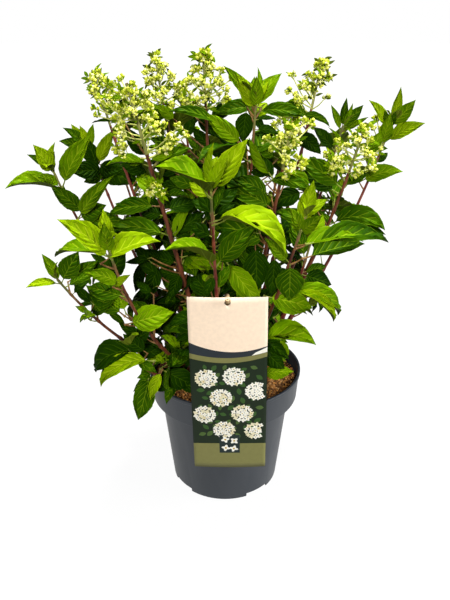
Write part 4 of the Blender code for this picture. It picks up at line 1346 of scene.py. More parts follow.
cane_points = [(one, along) for one in grown for along in np.arange(0, one.axis.length, 2 * MM)]
cane_tree = tree_of([one.axis.at(along) for one, along in cane_points])


def leaf_to(root, tip, face, bend):
    """The leaf that runs from its root to this tip, bent this much, with its upper face this way."""
    chord = tip - root
    face = (face - chord * face.dot(chord) / chord.length_squared).normalized()
    plain = Leaf(Vector(), chord.normalized(), face, 1.0, bend)
    reach = leaf_frames(plain, (0.4, 0.7, 1.0))[-1][0]
    turn = reach.rotation_difference(chord)
    return Leaf(root, turn @ plain.heading, turn @ face, chord.length / reach.length, bend)


def shown_ends(shown):
    """Root and tip of a leaf that shows in front. Its fine tip runs on past where it was read."""
    tip = seen_at(shown.tip_across + TIP_PAST * (shown.tip_across - shown.across),
                  shown.tip_down + TIP_PAST * (shown.tip_down - shown.down), shown.tip_depth)
    return seen_at(shown.across, shown.down, shown.depth) * MM, tip * MM


def spur(start, root, gap):
    """A thin spur from a cane to a leaf that stands clear of it."""
    axis = Axis(start, start.lerp(root, 0.6) - UP * gap * 0.12, root)
    return limb(axis.line(5), np.linspace(1.1, 0.7, 6) * MM, 6)


rows = [row for row in FRONT_LEAVES.splitlines() if row[:1].isdigit()]
for number, row in enumerate(rows):
    shown = Shown(*(float(part) for part in row.split()))
    root, tip = shown_ends(shown)
    near, i, gap = cane_tree.find(root)
    if gap < SPUR_GAP:
        root = near
    else:
        one, along = cane_points[i]
        stalks.add(*spur(one.axis.at(max(along - gap * 0.8, 0)), root, gap), RUDDY_STALK)
    face = Vector((shown.face_x, shown.face_y, shown.face_z))
    leaf = leaf_to(root, tip, face, math.radians(shown.bend))
    seed = f"front {number}"
    blade = full_blade if leaf.length > LARGE_IN_FRONT else small_blade
    tones[int(shown.tone)].add(blade, leaf, seed, 0.7, shown.fold, shown.breadth)
    stalks.add(*stalk(leaf), random.Random(seed).choice(STALK_MIX))

# Leafy twigs
# In most leaf axils, and at the old scars below, a side twig has grown. It is longer the lower it
# stands, and has one or two pairs of leaves. The others have only a pointed bud. Every leafy cane
# ends in leaves that are still folded upright.
Twig = namedtuple("Twig", "chance shortest longest smallest largest")
# For each order from the tip down: the chance of a twig, its length and its leaves' length in mm
TWIGS = (None, None, Twig(0.5, 6, 14, 18, 30), Twig(0.85, 12, 24, 28, 42), Twig(0.9, 14, 32, 32, 48),
         Twig(0.95, 16, 38, 36, 54), Twig(0.95, 18, 40, 38, 56))
# Twig leaves are darker the lower the twig, partly with age and partly as painted shade.
TWIG_TONES = ((PAINTED_SUNLIT, PAINTED_SUNLIT, MATURE), (PAINTED_SUNLIT, MATURE, MATURE), (PAINTED_SUNLIT, MATURE, MATURE, PAINTED_SHADE),
              (MATURE, MATURE, PAINTED_SHADE, PAINTED_SHADE))
TWIG_STEPS = 5
LONG_TWIG = 26 * MM
LARGE_ON_TWIG = 45 * MM
TIP_ANGLE, UPPER_ANGLE, LOWER_ANGLE = 30, 58, 66
TIP_SIZE, LOWER_SIZE = 0.62, 0.9
UPPER_AT, LOWER_AT = 0.8, 0.45
WOODY_TWIG = 20 * MM
SCAR_ORDER = 5
# The folded pairs of a leafy cane's tip: mm below it, share of the cane's leaf length, and angle
FOLDED_PAIRS = ((1, 0.3, 12, "pair"), (2, 0.44, 20, "leaves"))
axil_buds = Heap()


def axil_bud():
    """A pointed bud of unit size, with its foot at the origin."""
    bm = bmesh.new()
    bmesh.ops.create_cone(bm, cap_ends=True, segments=6, radius1=0.55, radius2=0, depth=2)
    bmesh.ops.translate(bm, vec=(0, 0, 1), verts=bm.verts)
    bmesh.ops.subdivide_edges(bm, edges=lengthwise(bm), cuts=2)
    for vert in bm.verts:
        swell = 1.5 * math.sin(math.pi * min(1, 0.25 + 0.4 * vert.co.z))
        vert.co.x *= swell
        vert.co.y *= swell
    return as_arrays(bm)


bud_points, bud_faces = axil_bud()


def aimed(points, root, heading, size):
    """The shape set on its root and turned so that its Z axis runs along the heading."""
    turn = np.array(heading.to_track_quat("Z", "Y").to_matrix())
    return points @ (turn.T * size) + np.array(root)


def small_pair(root, stem, azimuth, length, angle, seed, tone):
    """Two opposite leaves on a twig, where they hang clear."""
    for side in (0, 1):
        draw = random.Random(f"{seed} {side}")
        leaf = plan_leaf(root, stem, azimuth + side * math.pi + draw.uniform(-0.4, 0.4),
                         math.radians(angle + draw.uniform(-12, 12)), length * draw.uniform(0.8, 1.1),
                         math.radians(draw.uniform(15, 75)), math.radians(draw.uniform(-25, 25)))
        if hangs_clear(leaf):
            tones[tone].add(small_blade if length < LARGE_ON_TWIG else full_blade, leaf,
                            f"{seed} {side} blade")
            stalks.add(*stalk(leaf, 1.15), GREEN_STALK)


def leafy_twig(root, heading, order, seed):
    """A side twig of this order, or only a bud. None ends where the crown is open."""
    draw = random.Random(seed)
    twig = TWIGS[min(order, len(TWIGS) - 1)]
    if not twig or draw.random() > twig.chance:
        start = root + heading * 2.2 * MM
        axil_buds.add(aimed(bud_points, start, heading, draw.uniform(1.3, 2) * MM), bud_faces)
        return
    length = draw.uniform(twig.shortest, twig.longest) * MM
    bend = root + heading * length * 0.5
    end = bend + (heading * 0.6 + UP * 0.6).normalized() * length * 0.5
    if in_opening(end, OPENINGS):
        return
    axis = Axis(root, bend, end)
    radii = np.linspace(0.5 + 0.02 * length / MM, 0.55, TWIG_STEPS + 1) * MM
    stalks.add(*limb(axis.line(TWIG_STEPS), radii, 6),
               GREEN_STALK if length < WOODY_TWIG else RUDDY_STALK)
    azimuth = draw.uniform(0, math.tau)
    size = draw.uniform(twig.smallest, twig.largest) * MM
    tone = draw.choice(TWIG_TONES[min(max(order - 2, 0), 3)])
    upper, lower = axis.length * UPPER_AT, axis.length * LOWER_AT
    small_pair(end, axis.heading(axis.length), azimuth, size * TIP_SIZE, TIP_ANGLE, seed + " tip",
               max(tone - 1, YOUNG))
    small_pair(axis.at(upper), axis.heading(upper), azimuth + math.pi / 2, size, UPPER_ANGLE,
               seed + " pair", tone)
    # The lower pair takes a tone darker, painted shade.
    if length > LONG_TWIG:
        small_pair(axis.at(lower), axis.heading(lower), azimuth, size * LOWER_SIZE, LOWER_ANGLE,
                   seed + " low pair", min(tone + 1, PAINTED_SHADE))


for kept in kept_leaves:
    side = (kept.leaf.heading - kept.stem * kept.leaf.heading.dot(kept.stem)).normalized()
    leafy_twig(kept.leaf.root, (kept.stem * 0.8 + side * 0.8).normalized(),
               kept.order if kept.leaf.length > LARGE_LEAF else 0, kept.label + " twig")
for one in grown:
    for number, along in enumerate(one.scars()):
        root, stem = one.axis.at(along), one.axis.heading(along)
        for side in (0, 1):
            way = across(stem, one.azimuth(number + len(one.places)) + side * math.pi)
            leafy_twig(root, (stem * 0.8 + way * 0.8).normalized(), SCAR_ORDER,
                       f"{one.cane.name} scar {number} {side}")

for one in grown:
    if not one.plume:
        tip, stem = one.axis.at(one.axis.length), one.axis.heading(one.axis.length)
        for below, share, angle, word in FOLDED_PAIRS:
            azimuth = one.azimuth(-1) + (below - 1) * math.pi / 2
            small_pair(tip - stem * below * MM, stem, azimuth, share * one.cane.leaf * MM, angle,
                       f"{one.cane.name} tip {word}", YOUNG)

masses = ["foliage_" + cane.name for cane in CANES]
for tone in tones:
    put_down(tone.name, tone.heap.mesh(60), tone.finishes, "foliage", *masses)
stalk_finishes = [
    stem_finish("green_stalk", (0.12, 0.16, 0.012), (0.24, 0.28, 0.04)),
    stem_finish("ruddy_stalk", (0.12, 0.05, 0.012), (0.24, 0.13, 0.035)),
]
put_down("leaf_stalks", stalks.mesh(60), stalk_finishes, "foliage", *masses)
put_down("axil_buds", axil_buds.mesh(60), [stalk_finishes[0]], "foliage", *masses)

# Plumes
# Panicles in bud. Whorls of pale side branches carry airy clusters of buds on short stalks, and
# narrow dark bracts stand between them. The buds run from green through yellow to cream.
WHORLS = ((0.05, 4, 0.46, 64), (0.3, 3, 0.38, 56), (0.54, 3, 0.27, 48), (0.76, 2, 0.17, 38))
SMALL_PLUME = 30 * MM
BUD_HEAD = 0.1
BRANCH_RADIUS = 1.05 * MM
BRACT_LENGTH = 0.3
BUDS_PER_HEAD = 19
BUDS_PER_SIDE = 8
BUD_RADIUS = 1.95 * MM
BRANCH_STEPS = 6
FORK_AT = 0.6
BRACTS_AT = (0.4, 0.6, 0.8, 0.95)
TOP_BRACTS = 3
HEAD_BRACTS = 2
RACHIS_BRACTS = 9
RACHIS_CLUSTERS = 6
STAR_SHARE = 0.45
GREEN_BUD, YELLOW_BUD, CREAM_BUD = range(3)
BUD_MIX = (GREEN_BUD, YELLOW_BUD, YELLOW_BUD, YELLOW_BUD, CREAM_BUD, CREAM_BUD)
SIDE_MIX = (GREEN_BUD, YELLOW_BUD, YELLOW_BUD, CREAM_BUD)
YOUNG_MIX = (GREEN_BUD, GREEN_BUD, GREEN_BUD, YELLOW_BUD)
# Where the plumes have no heads of buds, given like the openings
BARE_OF_BUDS = tuple(open_place(*row) for row in (
    (84, 110, 10, 30), (83, 86, 8, 12), (337, 92, 8, 9), (101, 128, 10, 12),
    (272, 165, 13, 14), (305, 100, 7, 7), (335, 112, 10, 14), (300, 152, 12, 9),
    (352, 178, 12, 8), (134, 160, 8, 11), (169, 153, 8, 8),
))
# The heads that show in front: where the branch leaves its cane, the head's middle, and its radius
# in mm, with both places given like the leaves' ends
FRONT_HEADS = (
    ((112, 103, -20), (104, 80, -15), 5), ((112, 112, -10), (99, 98, -15), 4.5),
    ((112, 112, -10), (104, 105, -25), 5), ((112, 114, -10), (96, 108, -15), 4.5),
    ((113, 114, -20), (112, 107, -30), 5), ((113, 118, -15), (99, 116, -20), 4),
    ((118, 124, -20), (117, 118, -35), 5), ((134, 135, -30), (122, 128, -35), 5.5),
    ((136, 140, -30), (127, 139, -40), 5), ((112, 103, -20), (109, 84, -20), 4.5),
    ((113, 104, -20), (121, 111, -20), 4.5), ((131, 97, -40), (114, 85, -30), 4.5),
    ((131, 97, -40), (122, 80, -30), 5), ((131, 100, -40), (113, 93, -30), 4),
    ((148, 132, -40), (153, 116, -50), 6), ((150, 138, -40), (163, 126, -50), 5.5),
    ((166, 150, -45), (178, 128, -50), 6), ((166, 150, -45), (185, 136, -50), 5),
    ((162, 150, -50), (170, 137, -55), 5.5), ((134, 110, -40), (120, 96, -45), 5),
    ((134, 108, -40), (146, 97, -50), 6), ((157, 78, 40), (165, 66, 40), 4),
    ((157, 84, 40), (171, 76, 45), 4.5), ((158, 84, 40), (146, 73, 35), 4),
    ((158, 100, 40), (155, 95, 20), 7), ((205, 96, 10), (221, 72, 10), 5),
    ((205, 96, 10), (212, 79, 5), 6), ((363, 142, 10), (374, 129, 15), 4.5),
    ((162, 118, 20), (173, 102, 15), 5), ((297, 136, -45), (311, 126, -40), 5),
    ((296, 138, -45), (304, 121, -40), 4.5), ((205, 98, 10), (230, 80, 15), 4.5),
    ((205, 98, 10), (226, 90, 5), 4.5), ((208, 98, 10), (216, 84, -5), 5),
    ((300, 104, 60), (293, 76, 50), 6), ((300, 106, 60), (291, 90, 45), 6),
    ((300, 106, 60), (297, 96, 50), 4), ((310, 110, 60), (327, 97, 60), 4.5),
    ((363, 142, 10), (378, 120, 20), 6), ((363, 142, 10), (383, 130, 25), 5.5),
    ((360, 146, 10), (376, 140, 20), 5), ((357, 150, 0), (379, 151, 10), 6),
    ((355, 155, 0), (374, 156, 10), 5), ((350, 160, -10), (329, 154, -10), 7),
    ((350, 160, -10), (337, 163, -5), 5), ((352, 152, -5), (338, 142, -10), 4.5),
    ((283, 150, -60), (268, 140, -70), 6), ((280, 155, -60), (291, 164, -70), 5.5),
    ((297, 122, -50), (309, 122, -40), 6),
)
Branch = namedtuple("Branch", "root heading length stem bract level")


def plume_branches(seed, axis, plume, tree):
    """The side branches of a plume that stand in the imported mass, by the source's draws."""
    draw = random.Random(seed)
    head = plume * BUD_HEAD
    turn = draw.uniform(0, math.tau)
    whorls = WHORLS if plume > SMALL_PLUME else WHORLS[1:]
    for level, (share, count, reach, angle) in enumerate(whorls):
        along = axis.length - plume * (1 - share)
        root, stem = axis.at(along), axis.heading(along)
        for i in range(count):
            side = across(stem, turn + (i + 0.5 * level) * math.tau / count + draw.uniform(-0.2, 0.2))
            lean = math.radians(angle)
            heading = (stem * math.cos(lean) + side * math.sin(lean)).normalized()
            length = plume * reach * draw.uniform(0.9, 1.12)
            if stands(tree, root + heading * (length + head)):
                yield Branch(root, heading, length, stem, level < 2 and i % 2, level)


class Plume:
    """One panicle: branches, buds and bracts gathered into the joined pieces."""

    def __init__(self, seed):
        self.draw = random.Random(seed + " buds")

    def set_head(self, root, middle, radius):
        """One head of buds on its own thin, rising branch, with a few bracts."""
        rise = middle - root
        elbow = root.lerp(middle, 0.5) - UP * rise.length * 0.08
        line = [root, root.lerp(elbow, 0.5), elbow, elbow.lerp(middle, 0.55), middle]
        branchlets.add(*limb(line, np.linspace(0.8, 0.5, 5) * BRANCH_RADIUS, 6))
        heading = (rise.normalized() + UP * 0.5).normalized()
        self.cluster(middle, heading, radius, round(0.9 * radius / MM) + 5)
        for _ in range(HEAD_BRACTS):
            way = (heading + self.any_way() * 0.9).normalized()
            self.bract(middle - heading * radius * 0.5, way, radius * self.draw.uniform(1.5, 2.2))

    def grow(self, seed, axis, plume, tree):
        """The branches and heads of the whole plume."""
        self.head = plume * BUD_HEAD
        for branch in plume_branches(seed, axis, plume, tree):
            if not in_opening(branch.root + branch.heading * branch.length, BARE_OF_BUDS):
                self.side_branch(branch, plume)
        top, rise = axis.at(axis.length), axis.heading(axis.length)
        self.cluster(top - rise * self.head, rise, self.head * 0.8, BUDS_PER_HEAD, YOUNG_MIX)
        for i in range(TOP_BRACTS):
            side = across(rise, i * 2.1)
            self.bract(top - rise * self.head * 1.2, (rise + side * 0.35).normalized(), 8 * MM)
        for i in range(RACHIS_BRACTS):
            place = axis.length - self.head * (0.5 + 0.75 * i)
            root, stem = axis.at(place), axis.heading(place)
            side = across(stem, i * 2.4 + self.draw.uniform(-0.3, 0.3))
            if i < RACHIS_CLUSTERS:
                self.cluster(root + side * self.head * 0.6, (stem + side * 1.5).normalized(),
                             self.head * 0.6, BUDS_PER_SIDE, YOUNG_MIX if i < 2 else SIDE_MIX)
            self.bract(root, (stem * 0.7 + side).normalized(), self.draw.uniform(9, 15) * MM)

    def any_way(self):
        """A direction drawn at random."""
        return Vector([self.draw.gauss(0, 1) for _ in range(3)]).normalized()

    def side_branch(self, branch, plume):
        """A curved branch with its end cluster, two smaller ones on the way, and a bract."""
        end = branch.root + branch.heading * branch.length
        sag = branch.stem * branch.length * 0.07
        line = [branch.root.lerp(end, t) - sag * math.sin(t * math.pi)
                for t in np.linspace(0, 1, BRANCH_STEPS + 1)]
        branchlets.add(*limb(line, np.linspace(1.0, 0.5, BRANCH_STEPS + 1) * BRANCH_RADIUS, 6))
        self.cluster(end - branch.heading * self.head * 0.7, branch.heading, self.head, BUDS_PER_HEAD)
        if branch.level < 2:
            self.fork(branch, branch.root.lerp(end, FORK_AT))
        low = (branch.heading - branch.stem * 0.5).normalized()
        length = plume * BRACT_LENGTH * (1 if branch.bract else self.draw.uniform(0.35, 0.6))
        self.bract(branch.root, low, length)
        for t in BRACTS_AT:
            way = (branch.heading * 0.8 + self.any_way()).normalized()
            self.bract(branch.root.lerp(end, t), way, self.draw.uniform(8, 14) * MM)

    def fork(self, branch, root):
        """Two opposite smaller clusters on the way."""
        side = self.any_way()
        side = (side - branch.heading * side.dot(branch.heading)).normalized()
        for way in (side, -side):
            heading = (branch.heading * 0.7 + way).normalized()
            tip = root + heading * self.head * self.draw.uniform(0.8, 1.3)
            branchlets.add(*limb([root, root.lerp(tip, 0.5), tip],
                                 [0.5 * MM, 0.42 * MM, 0.35 * MM], 5))
            self.cluster(tip, heading, self.head * 0.66, BUDS_PER_SIDE + 2)

    def bract(self, root, heading, length):
        """A narrow dark bract whose face looks outwards and up."""
        outward = Vector((root.x, root.y, 0)).normalized()
        face = UP * 0.5 - Vector((0, 1, 0)) * (0.8 if root.y < 60 * MM else -0.8) + outward * 0.3
        face = (face - heading * face.dot(heading)).normalized()
        leaf = Leaf(root, heading, face, length, math.radians(self.draw.uniform(-10, 40)))
        bracts.add(*Blade(f"{root.x:.4f}", 0.6, self.draw.uniform(6, 22)).bend(narrow_blade, leaf))

    def cluster(self, centre, heading, radius, count, mix=BUD_MIX):
        """Buds on short stalks that spread from inside the cluster."""
        base = centre - heading * radius * 0.75
        for _ in range(count):
            way = (self.any_way() + heading * 0.55).normalized()
            spot = centre + way * radius * self.draw.uniform(0.3, 0.78)
            outward = (spot - base).normalized()
            size = BUD_RADIUS * self.draw.uniform(0.7, 1.15)
            start = base + heading * radius * self.draw.uniform(0, 0.8)
            branchlets.add(*limb([start, spot], [0.36 * MM, 0.3 * MM], 4))
            shape = bud_star if self.draw.random() < STAR_SHARE else bud_round
            top = self.draw.choice(mix)
            flower_buds.add(aimed(shape[0], spot, outward, size), shape[1],
                            [top if upper else GREEN_BUD for upper in shape[2]])


def round_bud():
    """A closed bud, a little longer than wide, with its foot at the origin."""
    bm = bmesh.new()
    bmesh.ops.create_icosphere(bm, subdivisions=1, radius=1)
    bmesh.ops.scale(bm, vec=(0.9, 0.9, 1.15), verts=bm.verts)
    bmesh.ops.translate(bm, vec=(0, 0, 0.7), verts=bm.verts)
    return as_arrays(bm)


def star_bud():
    """A bud whose four pointed sepals have begun to part."""
    bm = bmesh.new()
    bmesh.ops.create_cone(bm, cap_ends=True, segments=8, radius1=0.45, radius2=1.15, depth=1.5)
    for vert in bm.verts:
        corner = round(math.atan2(vert.co.y, vert.co.x) / (math.tau / 8)) % 2
        if vert.co.z > 0 and corner:
            vert.co.x *= 0.45
            vert.co.y *= 0.45
            vert.co.z *= 0.75
    top = [face for face in bm.faces if face.normal.z > 0.5]
    bmesh.ops.poke(bm, faces=top, offset=-0.35)
    bmesh.ops.translate(bm, vec=(0, 0, 0.6), verts=bm.verts)
    return as_arrays(bm)


def lance_blade():
    """The bract's narrow blade: the small leaf's pattern drawn in to a lance."""
    points, faces, slots = small_blade
    return points * np.array((1, 0.72, 1, 1, 1)), faces, slots


def two_toned(shape):
    """The shape with a mark for each face that lies on the bud's upper part."""
    points, faces = shape
    return points, faces, [points[list(face), 2].mean() > 0.62 for face in faces]


def bud_finish(name, dark, light):
    """The satin skin of a closed bud."""
    made = finish(name, light, 0.55, 0.2)
    mottle(made, speckle(made, 300), dark, light)
    emboss(made, speckle(made, 1500), 0.1 * MM, 0.5)
    return made


bud_round, bud_star, narrow_blade = two_toned(round_bud()), two_toned(star_bud()), lance_blade()
branchlets, flower_buds, bracts = Heap(), Heap(), Heap()
for one in grown:
    tree = standing_points(one.cane.name)
    if one.plume:
        seed = one.cane.name + " plume"
        Plume(seed).grow(seed, one.axis, one.plume, tree)
    for shoot, axis, _ in one.shoots:
        seed = f"{one.cane.name} shoot {shoot.node}"
        Plume(seed).grow(seed, axis, shoot.plume * MM, tree)
by_hand = Plume("front heads")
for root, middle, radius in FRONT_HEADS:
    root = cane_tree.find(seen_at(*root) * MM)[0]
    by_hand.set_head(root, seen_at(*middle) * MM, radius * MM)
branchlet_skin = stem_finish("pale_green_branchlet", (0.38, 0.44, 0.05), (0.66, 0.68, 0.2))
put_down("plume_branchlets", branchlets.mesh(60), [branchlet_skin], "foliage", *masses)
bud_finishes = [
    bud_finish("green_buds", (0.26, 0.34, 0.004), (0.47, 0.54, 0.012)),
    bud_finish("yellow_buds", (0.56, 0.59, 0.05), (0.8, 0.79, 0.15)),
    bud_finish("cream_buds", (0.7, 0.71, 0.2), (0.9, 0.88, 0.46)),
]
put_down("flower_buds", flower_buds.mesh(50), bud_finishes, "foliage", *masses)
# The bracts take the sunlit leaves' finishes, a lit copy of the green: painted light.
put_down("plume_bracts", bracts.mesh(60), tones[PAINTED_SUNLIT].finishes, "foliage", *masses)

# Label
# A stiff printed card that hangs by a punched hole on a pruned stub, rests on the pot's rim and
# bends to follow its side. A cream field ends in an arc over slate and olive bands. Below them a
# dark panel has a plain pattern of florets, and the foot is olive.
LABEL_WIDTH = 85 * MM
LABEL_THICKNESS = 0.6 * MM
LABEL_CENTRE_X = 2.5 * MM
LABEL_SLANT = 0.015
LABEL_TILT = 0.079
LABEL_BEND = 0.31
LABEL_CUP = 2 * MM
LABEL_COLUMNS = 24
LABEL_HOLE_RADIUS = 3.2 * MM
LABEL_HOLE_DROP = 6 * MM
PRINT_LIFT = 0.05 * MM
# The label's length and, for each printed zone, the drops of its lower edge at the left side, middle
# and right side, all in mm, and the rows of the sheet that it takes
LABEL_LENGTH = 232
ZONES = (("cream", (54, 65, 58.5), 9), ("slate", (67.5, 72.7, 66), 3), ("olive", (73.9, 79, 71.5), 2),
         ("panel", (194, 193, 194), 14), ("olive", (LABEL_LENGTH, LABEL_LENGTH, LABEL_LENGTH), 5))
PANEL_TOP = 81 * MM
PANEL_FOOT = 191.5 * MM
PANEL_HALF = LABEL_WIDTH / 2 - 0.8 * MM
PATTERN_ROWS = 11
PATTERN_COLUMNS = 8
PATTERN_PITCH = (11, 10.4)
# Middles of the posies in mm, x from the label's middle and drop from its top, and of the florets
# in the small inset. A posy has rings of florets: the ring's radius in floret steps, and how many
POSIES = ((-25, 100), (6, 97), (31, 117), (-9, 126), (-28, 150), (15, 148), (-6, 172), (30, 174))
POSY_RINGS = ((2, 13), (1, 7), (0, 1))
FLORET_STEP = 5.2 * MM
FLORET_EYE = 0.8 * MM
INSET_RADIUS = 5.2 * MM
INSET_EYE = 1.4 * MM
PATTERN_EDGE = 5 * MM
INSET_CORNERS = ((-12, 180), (12, 180), (12, 208), (-12, 208))
INSET_FLORETS = ((-5, 187), (5.5, 189), (-4.5, 200), (5, 201))
WHITE_PRINT, IVORY_PRINT, YELLOW_PRINT, LEAF_PRINT, MOSS_PRINT, DEEP_PRINT = range(6)


def label_point(x, drop, lift=0.0):
    """A point of the label, x from its middle and this far below its top edge."""
    z = LABEL_TOP - drop
    above = z - (POT_HEIGHT - LIP_HEIGHT)
    lean = RIM_RADIUS + LABEL_THICKNESS / 2 + GAP + LABEL_TILT * above - LABEL_BEND * above ** 2
    middle = LABEL_CENTRE_X + LABEL_SLANT * drop
    return Vector((middle + x, LABEL_CUP * (2 * x / LABEL_WIDTH) ** 2 - lean - lift, z))


def zone_edge(drops, s):
    """The zone's lower edge at s, from -1 at the left side of the label to 1 at the right."""
    left, middle, right = drops
    return (middle + (right - left) / 2 * s + ((right + left) / 2 - middle) * s * s) * MM


def card_sheet():
    """The card as a sheet whose rows follow the edges of the printed zones."""
    rows, inks, above = [], [], (0, 0, 0)
    for name, drops, steps in ZONES:
        for i in range(steps):
            rows.append((above, drops, i / steps))
            inks.append(name)
        above = drops
    rows.append((above, above, 0))
    bm = bmesh.new()
    bmesh.ops.create_grid(bm, x_segments=LABEL_COLUMNS, y_segments=len(inks), size=0.5)
    order = ("cream", "slate", "olive", "panel")
    for face in bm.faces:
        row = int((0.5 - face.calc_center_median().y) * len(inks))
        face.material_index = order.index(inks[row])
    for vert in bm.verts:
        s = 2 * vert.co.x
        first, second, share = rows[round((0.5 - vert.co.y) * len(inks))]
        drop = zone_edge(first, s) * (1 - share) + zone_edge(second, s) * share
        vert.co = label_point(s * LABEL_WIDTH / 2, drop)
    return bm


def flat_patch(heap, outline, lift, tone):
    """A flat printed shape on the card: a fan from its middle to its outline, in (x, drop)."""
    middle = sum((Vector(corner) for corner in outline), Vector((0, 0))) / len(outline)
    points = [label_point(x, drop, LABEL_THICKNESS / 2 + lift) for x, drop in (middle, *outline)]
    count = len(outline)
    faces = [(0, 1 + (i + 1) % count, 1 + i) for i in range(count)]
    heap.add([point[:] for point in points], faces, tone)


def lobed(x, drop, radius, lobes, depth, turn=0.0, count=24):
    """The outline of a flat floret with rounded lobes."""
    line = []
    for i in range(count):
        angle = i * math.tau / count
        reach = radius * (1 - depth + depth * math.cos(lobes * angle))
        line.append((x + reach * math.cos(angle + turn), drop + reach * math.sin(angle + turn)))
    return line


def leaf_shape(x, drop, length, turn, slim=0.3, count=16):
    """The outline of a flat pointed leaf."""
    line = []
    for i in range(count):
        angle = i * math.tau / count
        along = length / 2 * math.cos(angle)
        out = slim * length * math.sin(angle) * abs(math.sin(angle))
        line.append((x + along * math.cos(turn) - out * math.sin(turn),
                     drop + along * math.sin(turn) + out * math.cos(turn)))
    return line


def print_pattern(heap):
    """Round posies of small florets, over scattered leaves in a half-drop repeat."""
    draw = random.Random("label pattern")
    wide, deep = PATTERN_PITCH
    for row in range(PATTERN_ROWS):
        for column in range(PATTERN_COLUMNS):
            shift = column - (PATTERN_COLUMNS - 1) / 2 + 0.5 * (row % 2)
            x = shift * wide * MM + draw.uniform(-2, 2) * MM
            drop = PANEL_TOP + (row + 0.5) * deep * MM + draw.uniform(-2, 2) * MM
            if abs(x) < PANEL_HALF - PATTERN_EDGE and drop < PANEL_FOOT - PATTERN_EDGE:
                flat_patch(heap, leaf_shape(x, drop, draw.uniform(7, 10) * MM, draw.uniform(0, 6)),
                           PRINT_LIFT * 0.6, draw.choice((LEAF_PRINT, LEAF_PRINT, MOSS_PRINT)))
    for number, (x, drop) in enumerate(POSIES):
        for ring, many in POSY_RINGS:
            for k in range(many):
                turn = k * math.tau / many + 0.4 * ring + number
                spot = (x * MM + ring * FLORET_STEP * math.cos(turn),
                        drop * MM + ring * FLORET_STEP * 0.95 * math.sin(turn))
                radius = draw.uniform(2.9, 3.4) * MM
                within = PANEL_TOP + radius < spot[1] < PANEL_FOOT - radius
                if abs(spot[0]) > PANEL_HALF - radius or not within:
                    continue
                lift = PRINT_LIFT * (1.2 + 0.5 * (k % 3) + 0.9 * (2 - ring))
                petals = (WHITE_PRINT, WHITE_PRINT, WHITE_PRINT, IVORY_PRINT)
                flat_patch(heap, lobed(*spot, radius, 4, 0.2, draw.uniform(0, 2)), lift,
                           draw.choice(petals))
                flat_patch(heap, lobed(*spot, FLORET_EYE, 4, 0.05, count=8), lift + PRINT_LIFT * 0.4,
                           draw.choice((IVORY_PRINT, YELLOW_PRINT)))


def print_finish(name, colour):
    """Printed card with a faint tooth and a slight unevenness in the ink."""
    made = finish(name, colour, 0.5, 0.15)
    mottle(made, speckle(made, 240, detail=5), tuple(0.93 * part for part in colour), colour)
    emboss(made, speckle(made, 1800, detail=2), 0.05 * MM, 0.3)
    return made


inks = [
    print_finish("cream_card", (0.93, 0.745, 0.565)),
    print_finish("slate_ink", (0.018, 0.024, 0.029)),
    print_finish("olive_ink", (0.187, 0.183, 0.06)),
    print_finish("dark_green_ink", (0.006, 0.014, 0.004)),
]
card = put_down("label_card", mesh_of(card_sheet()), inks, "label_card", "label")
thickness = card.modifiers.new("card", "SOLIDIFY")
thickness.thickness = LABEL_THICKNESS
thickness.offset = 0
bm = bmesh.new()
hole = label_point(0, LABEL_HOLE_DROP)
punch = Matrix.Translation(hole) @ Matrix.Rotation(math.pi / 2, 4, "X")
bmesh.ops.create_cone(bm, cap_ends=True, segments=32, radius1=LABEL_HOLE_RADIUS,
                      radius2=LABEL_HOLE_RADIUS, depth=12 * MM, matrix=punch)
cut_out(card, bm)
prints = Heap()
print_pattern(prints)
# A pale sliver where the arc's edge runs out at the right
sliver = [(s * LABEL_WIDTH / 2, zone_edge(ZONES[1][1], s) - 0.2 * MM) for s in (1, 0.85, 0.7, 0.6)]
sliver += [(s * LABEL_WIDTH / 2, zone_edge(ZONES[0][1], s) + 1.1 * MM + 9 * MM * (1 - s))
           for s in (0.7, 0.85, 1)]
flat_patch(prints, sliver, PRINT_LIFT, WHITE_PRINT)
inset = [(x * MM, drop * MM) for x, drop in INSET_CORNERS]
flat_patch(prints, inset, PRINT_LIFT * 3.6, DEEP_PRINT)
for x, drop in INSET_FLORETS:
    flat_patch(prints, lobed(x * MM, drop * MM, INSET_RADIUS, 4, 0.24, x), PRINT_LIFT * 4.2,
               WHITE_PRINT)
    flat_patch(prints, lobed(x * MM, drop * MM, INSET_EYE, 4, 0.05, count=8), PRINT_LIFT * 4.8,
               YELLOW_PRINT)
print_inks = [
    print_finish("white_print", (0.86, 0.84, 0.75)),
    print_finish("ivory_print", (0.74, 0.68, 0.46)),
    print_finish("yellow_print", (0.5, 0.34, 0.04)),
    print_finish("leaf_print", (0.03, 0.08, 0.014)),
    print_finish("moss_print", (0.06, 0.11, 0.025)),
    print_finish("deep_print", (0.012, 0.022, 0.02)),
]
put_down("label_print", prints.mesh(), print_inks, "label_card")

# Pruned stub
# A short dead stub of old cane that stands on the medium and holds the label by its hole. Its
# bark is dry and tan, and the cut end shows a pale rim round a darker pith.
STUB_RADIUS = 2.4 * MM
STUB_FOOT = 35 * MM
STUB_PROUD = 6 * MM
STUB_BEHIND = 12 * MM
STUB_SUNK = 3 * MM
STUB_STRAIGHT = 6 * MM
NOSE_RISE = 6.5 * MM
STUB_SIDES = 12
STUB_STEPS = 40
NOSE_STEPS = 12
KNOT_HEIGHT = 236 * MM
KNOT_REACH = 3 * MM
KNOT_SWELLING = 0.22
BARK, CUT_WOOD, PITH = range(3)
foot = Vector((hole.x, -STUB_FOOT, SOIL_TOP + GAP))
behind = hole + Vector((0, STUB_BEHIND, 0))
axis = Axis(foot + UP * STUB_STRAIGHT, Vector((hole.x, -1.3 * STUB_FOOT, hole.z)), behind)
nose = Axis(behind, hole - Vector((0, 0.8 * STUB_PROUD, 0)), hole + Vector((0, -STUB_PROUD, NOSE_RISE)))
